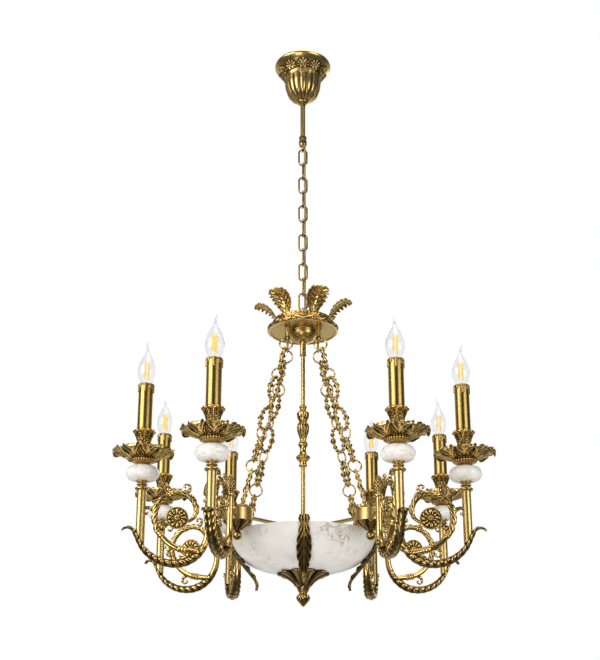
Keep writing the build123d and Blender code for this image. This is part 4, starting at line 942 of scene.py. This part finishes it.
def leafLoop(name, form, half):
    spots = around(loopRows)
    rise = half * np.cos(spots)
    straight = form["straight"] * half
    bend = np.clip((np.abs(rise) - straight) / (half - straight), 0, 1)
    line = np.stack([form["halfWide"] * np.sqrt(1 - bend ** 2) * np.sign(np.sin(spots)), rise], -1)
    run = np.roll(line, -1, 0) - np.roll(line, 1, 0)
    run /= np.linalg.norm(run, axis=1)[:, None]
    turn, spot = np.meshgrid(around(loopCols), spots)
    fold = np.abs(spot % math.pi - math.pi / 2)  # 0 at the middle of each side
    knot = bump(fold, 0.17)
    buds = bump(fold - 0.52, 0.11) + 0.8 * bump(fold - 0.92, 0.09)
    petal = swell(form["petals"] * turn + 14 * fold)
    girth = form["wire"] + (knot * form["knot"] + buds * form["bud"]) * (0.7 + 0.45 * petal)
    out = girth * np.cos(turn)
    points = np.stack([line[:, :1] - run[:, 1:] * out, girth * np.sin(turn), line[:, 1:] + run[:, :1] * out], -1)
    recess = np.clip(knot + buds, 0, 1) * (1 - petal) * 0.9
    faces = np.array(gridFaces(loopRows + 1, loopCols, True)) % (loopRows * loopCols)  # the last row joins the first
    return meshOf(name, points, faces.tolist(), castLook, recess)


for name, form, node in (("sideLink", sideLink, "side_chain_links"), ("sideHook", sideHook, "side_chain_hooks")):
    loops = hungLoops(node)
    mesh = leafLoop(name, form, loops[0][1] - form["wire"])
    copies(name, mesh, node, [matrix for matrix, reach in loops])
    print(name, "made:", len(loops), "of half length", round(loops[0][1], 1))


# supply cord: a stretch for each link of the chain, round ended where it bends into the next
cord = {"radius": 2.0, "out": 4.2, "links": 11, "firstJoint": -215.05, "lap": 2.2, "tuck": 0.94, "cols": 14}
cordTop, cordFoot = topOf("supply_cord"), footOf("supply_cord")
firstMiddle, nextMiddle = ((footOf(name) + topOf(name)) / 2 for name in ("chain_link_01", "chain_link_02"))
pitch = firstMiddle - nextMiddle
route, lay = [(cord["out"], -cord["out"], cordTop)], cord["out"]
for i in range(0, cord["links"], 2):  # the cord crosses inside every other link
    middle = firstMiddle - pitch * i
    route += [(cord["out"], -lay, middle + pitch / 4), (cord["out"], lay, middle - pitch / 4)]
    lay = -lay
route.append((cord["out"], -lay, cordFoot))
curveData = bpy.data.curves.new("cordRoute", "CURVE")
curveData.dimensions = "3D"
curveData.resolution_u = 12
spline = curveData.splines.new("NURBS")
spline.points.add(len(route) - 1)
for point, spot in zip(spline.points, route):
    point.co = (*(mm * value for value in spot), 1)
spline.order_u = 3
spline.use_endpoint_u = True
routeObject = bpy.data.objects.new("cordRoute", curveData)
routeMesh = bpy.data.meshes.new_from_object(routeObject)
routeLine = pointsOf(routeMesh)
routeLine = routeLine[np.argsort(routeLine[:, 2])]
bpy.data.objects.remove(routeObject)
bodyNames = ["ceiling_group"] + [f"chain_link_{i + 1:02d}" for i in range(cord["links"])] + ["fixture"]
cuts = [cordTop] + [cord["firstJoint"] - pitch * i for i in range(cord["links"] + 1)] + [cordFoot]


def cordStretch(name, high, low):
    lap, ends = cord["lap"], np.sin(np.linspace(0, math.pi / 2, 7))
    levels = np.r_[high + lap * ends[::-1], np.linspace(high, low, 30)[1:-1], low - lap * ends]
    over = np.maximum(np.maximum(levels - high, low - levels), 0) / lap  # 0 on the stretch, 1 at the tip of an end
    rounded = cord["tuck"] * np.sqrt(np.clip(1 - over ** 2, 0, 1))
    girth = cord["radius"] * np.where(over > 0, rounded, 1.0)[:, None]
    middle = [np.interp(levels, routeLine[:, 2], routeLine[:, i])[:, None] for i in (0, 1)]
    turn = around(cord["cols"])
    heights = np.repeat(levels[:, None], cord["cols"], 1)
    points = np.stack([middle[0] + girth * np.cos(turn), middle[1] + girth * np.sin(turn), heights], -1)
    return meshOf(name, points, gridFaces(len(levels), cord["cols"], True), cordLook)


for k, body in enumerate(bodyNames):
    name = f"supplyCord.{k + 1}"
    place(name, cordStretch(name, cuts[k], cuts[k + 1]), "supply_cord", body=body)
print("cord made")


# soft studio: white surround, darker on the camera's side, five large lamps and a pale floor
studio = {"surround": 0.6, "roomSide": 0.02, "sides": 0.085, "below": 0.06, "fill": 0.48, "floorZ": -2.1,
          "floorReach": 14.0, "floorLift": 0.36, "floorTone": (0.86, 0.86, 0.85), "aim": (0, 0, -0.85)}
world = bpy.data.worlds.new("studio")
bpy.context.scene.world = world
world.use_nodes = True
tree = world.node_tree
backdrop = tree.nodes["Background"]
path = addNode(tree, "ShaderNodeLightPath")
where = addNode(tree, "ShaderNodeTexCoord")
split = addNode(tree, "ShaderNodeSeparateXYZ")
tree.links.new(where.outputs["Generated"], split.inputs[0])
depth, height = (maths(tree, "ADD", maths(tree, "MULTIPLY", split.outputs[way], 0.5), 0.5) for way in ("Y", "Z"))
room = ramp(tree, depth, [(0.42, studio["roomSide"]), (0.68, studio["sides"]), (0.90, studio["surround"])])
glow = ramp(tree, height, [(0.12, studio["below"]), (0.44, 0.0)])
mirrored = mixColor(tree, 1.0, room, glow, "ADD")
lit = mixColor(tree, path.outputs["Is Glossy Ray"], grey(studio["fill"]), mirrored)
seen = maths(tree, "MAXIMUM", path.outputs["Is Camera Ray"], path.outputs["Is Transmission Ray"])
tree.links.new(mixColor(tree, seen, lit, grey(1.0)), backdrop.inputs["Color"])
backdrop.inputs["Strength"].default_value = 1.0

lamps = {"left": ((-1.9, -1.6, -0.1), 1.9, 46.0), "right": ((1.8, -2.0, -0.7), 1.5, 24.0),
         "above": ((0.3, -0.6, 1.5), 1.8, 27.0), "behind": ((0.6, 2.0, -0.2), 1.2, 10.0),
         "low": ((-0.7, -1.9, -1.95), 0.9, 11.0)}  # place, size and power
for name, (spot, size, power) in lamps.items():
    lampData = bpy.data.lights.new(f"lamp.{name}", "AREA")
    lampData.size = size
    lampData.energy = power
    lamp = addObject(f"lamp.{name}", lampData)
    lamp.location = spot
    lamp.visible_transmission = False  # so that no lamp shows through the bulbs
    lamp.rotation_euler = (Vector(studio["aim"]) - Vector(spot)).to_track_quat("-Z", "Y").to_euler()

floorMesh = bpy.data.meshes.new("floor")
corners = [(x * studio["floorReach"], y * studio["floorReach"], studio["floorZ"])
           for x, y in ((-1, -1), (1, -1), (1, 1), (-1, 1))]
floorMesh.from_pydata(corners, [], [(0, 1, 2, 3)])
floorLook, tree, shader = mottled("paleFloor", 3.0, 2.0, tuple(0.98 * tone for tone in studio["floorTone"]),
                                  studio["floorTone"], {"Roughness": 0.8, "Emission Color": (1, 1, 1, 1)})
glimpse = addNode(tree, "ShaderNodeLightPath")
lift = maths(tree, "MULTIPLY", glimpse.outputs["Is Camera Ray"], studio["floorLift"])
tree.links.new(lift, shader.inputs["Emission Strength"])
floorMesh.materials.append(floorLook)
floor = addObject("floor", floorMesh)
floor.visible_glossy = False  # keeps its pale tone out of the brass
print("studio made")
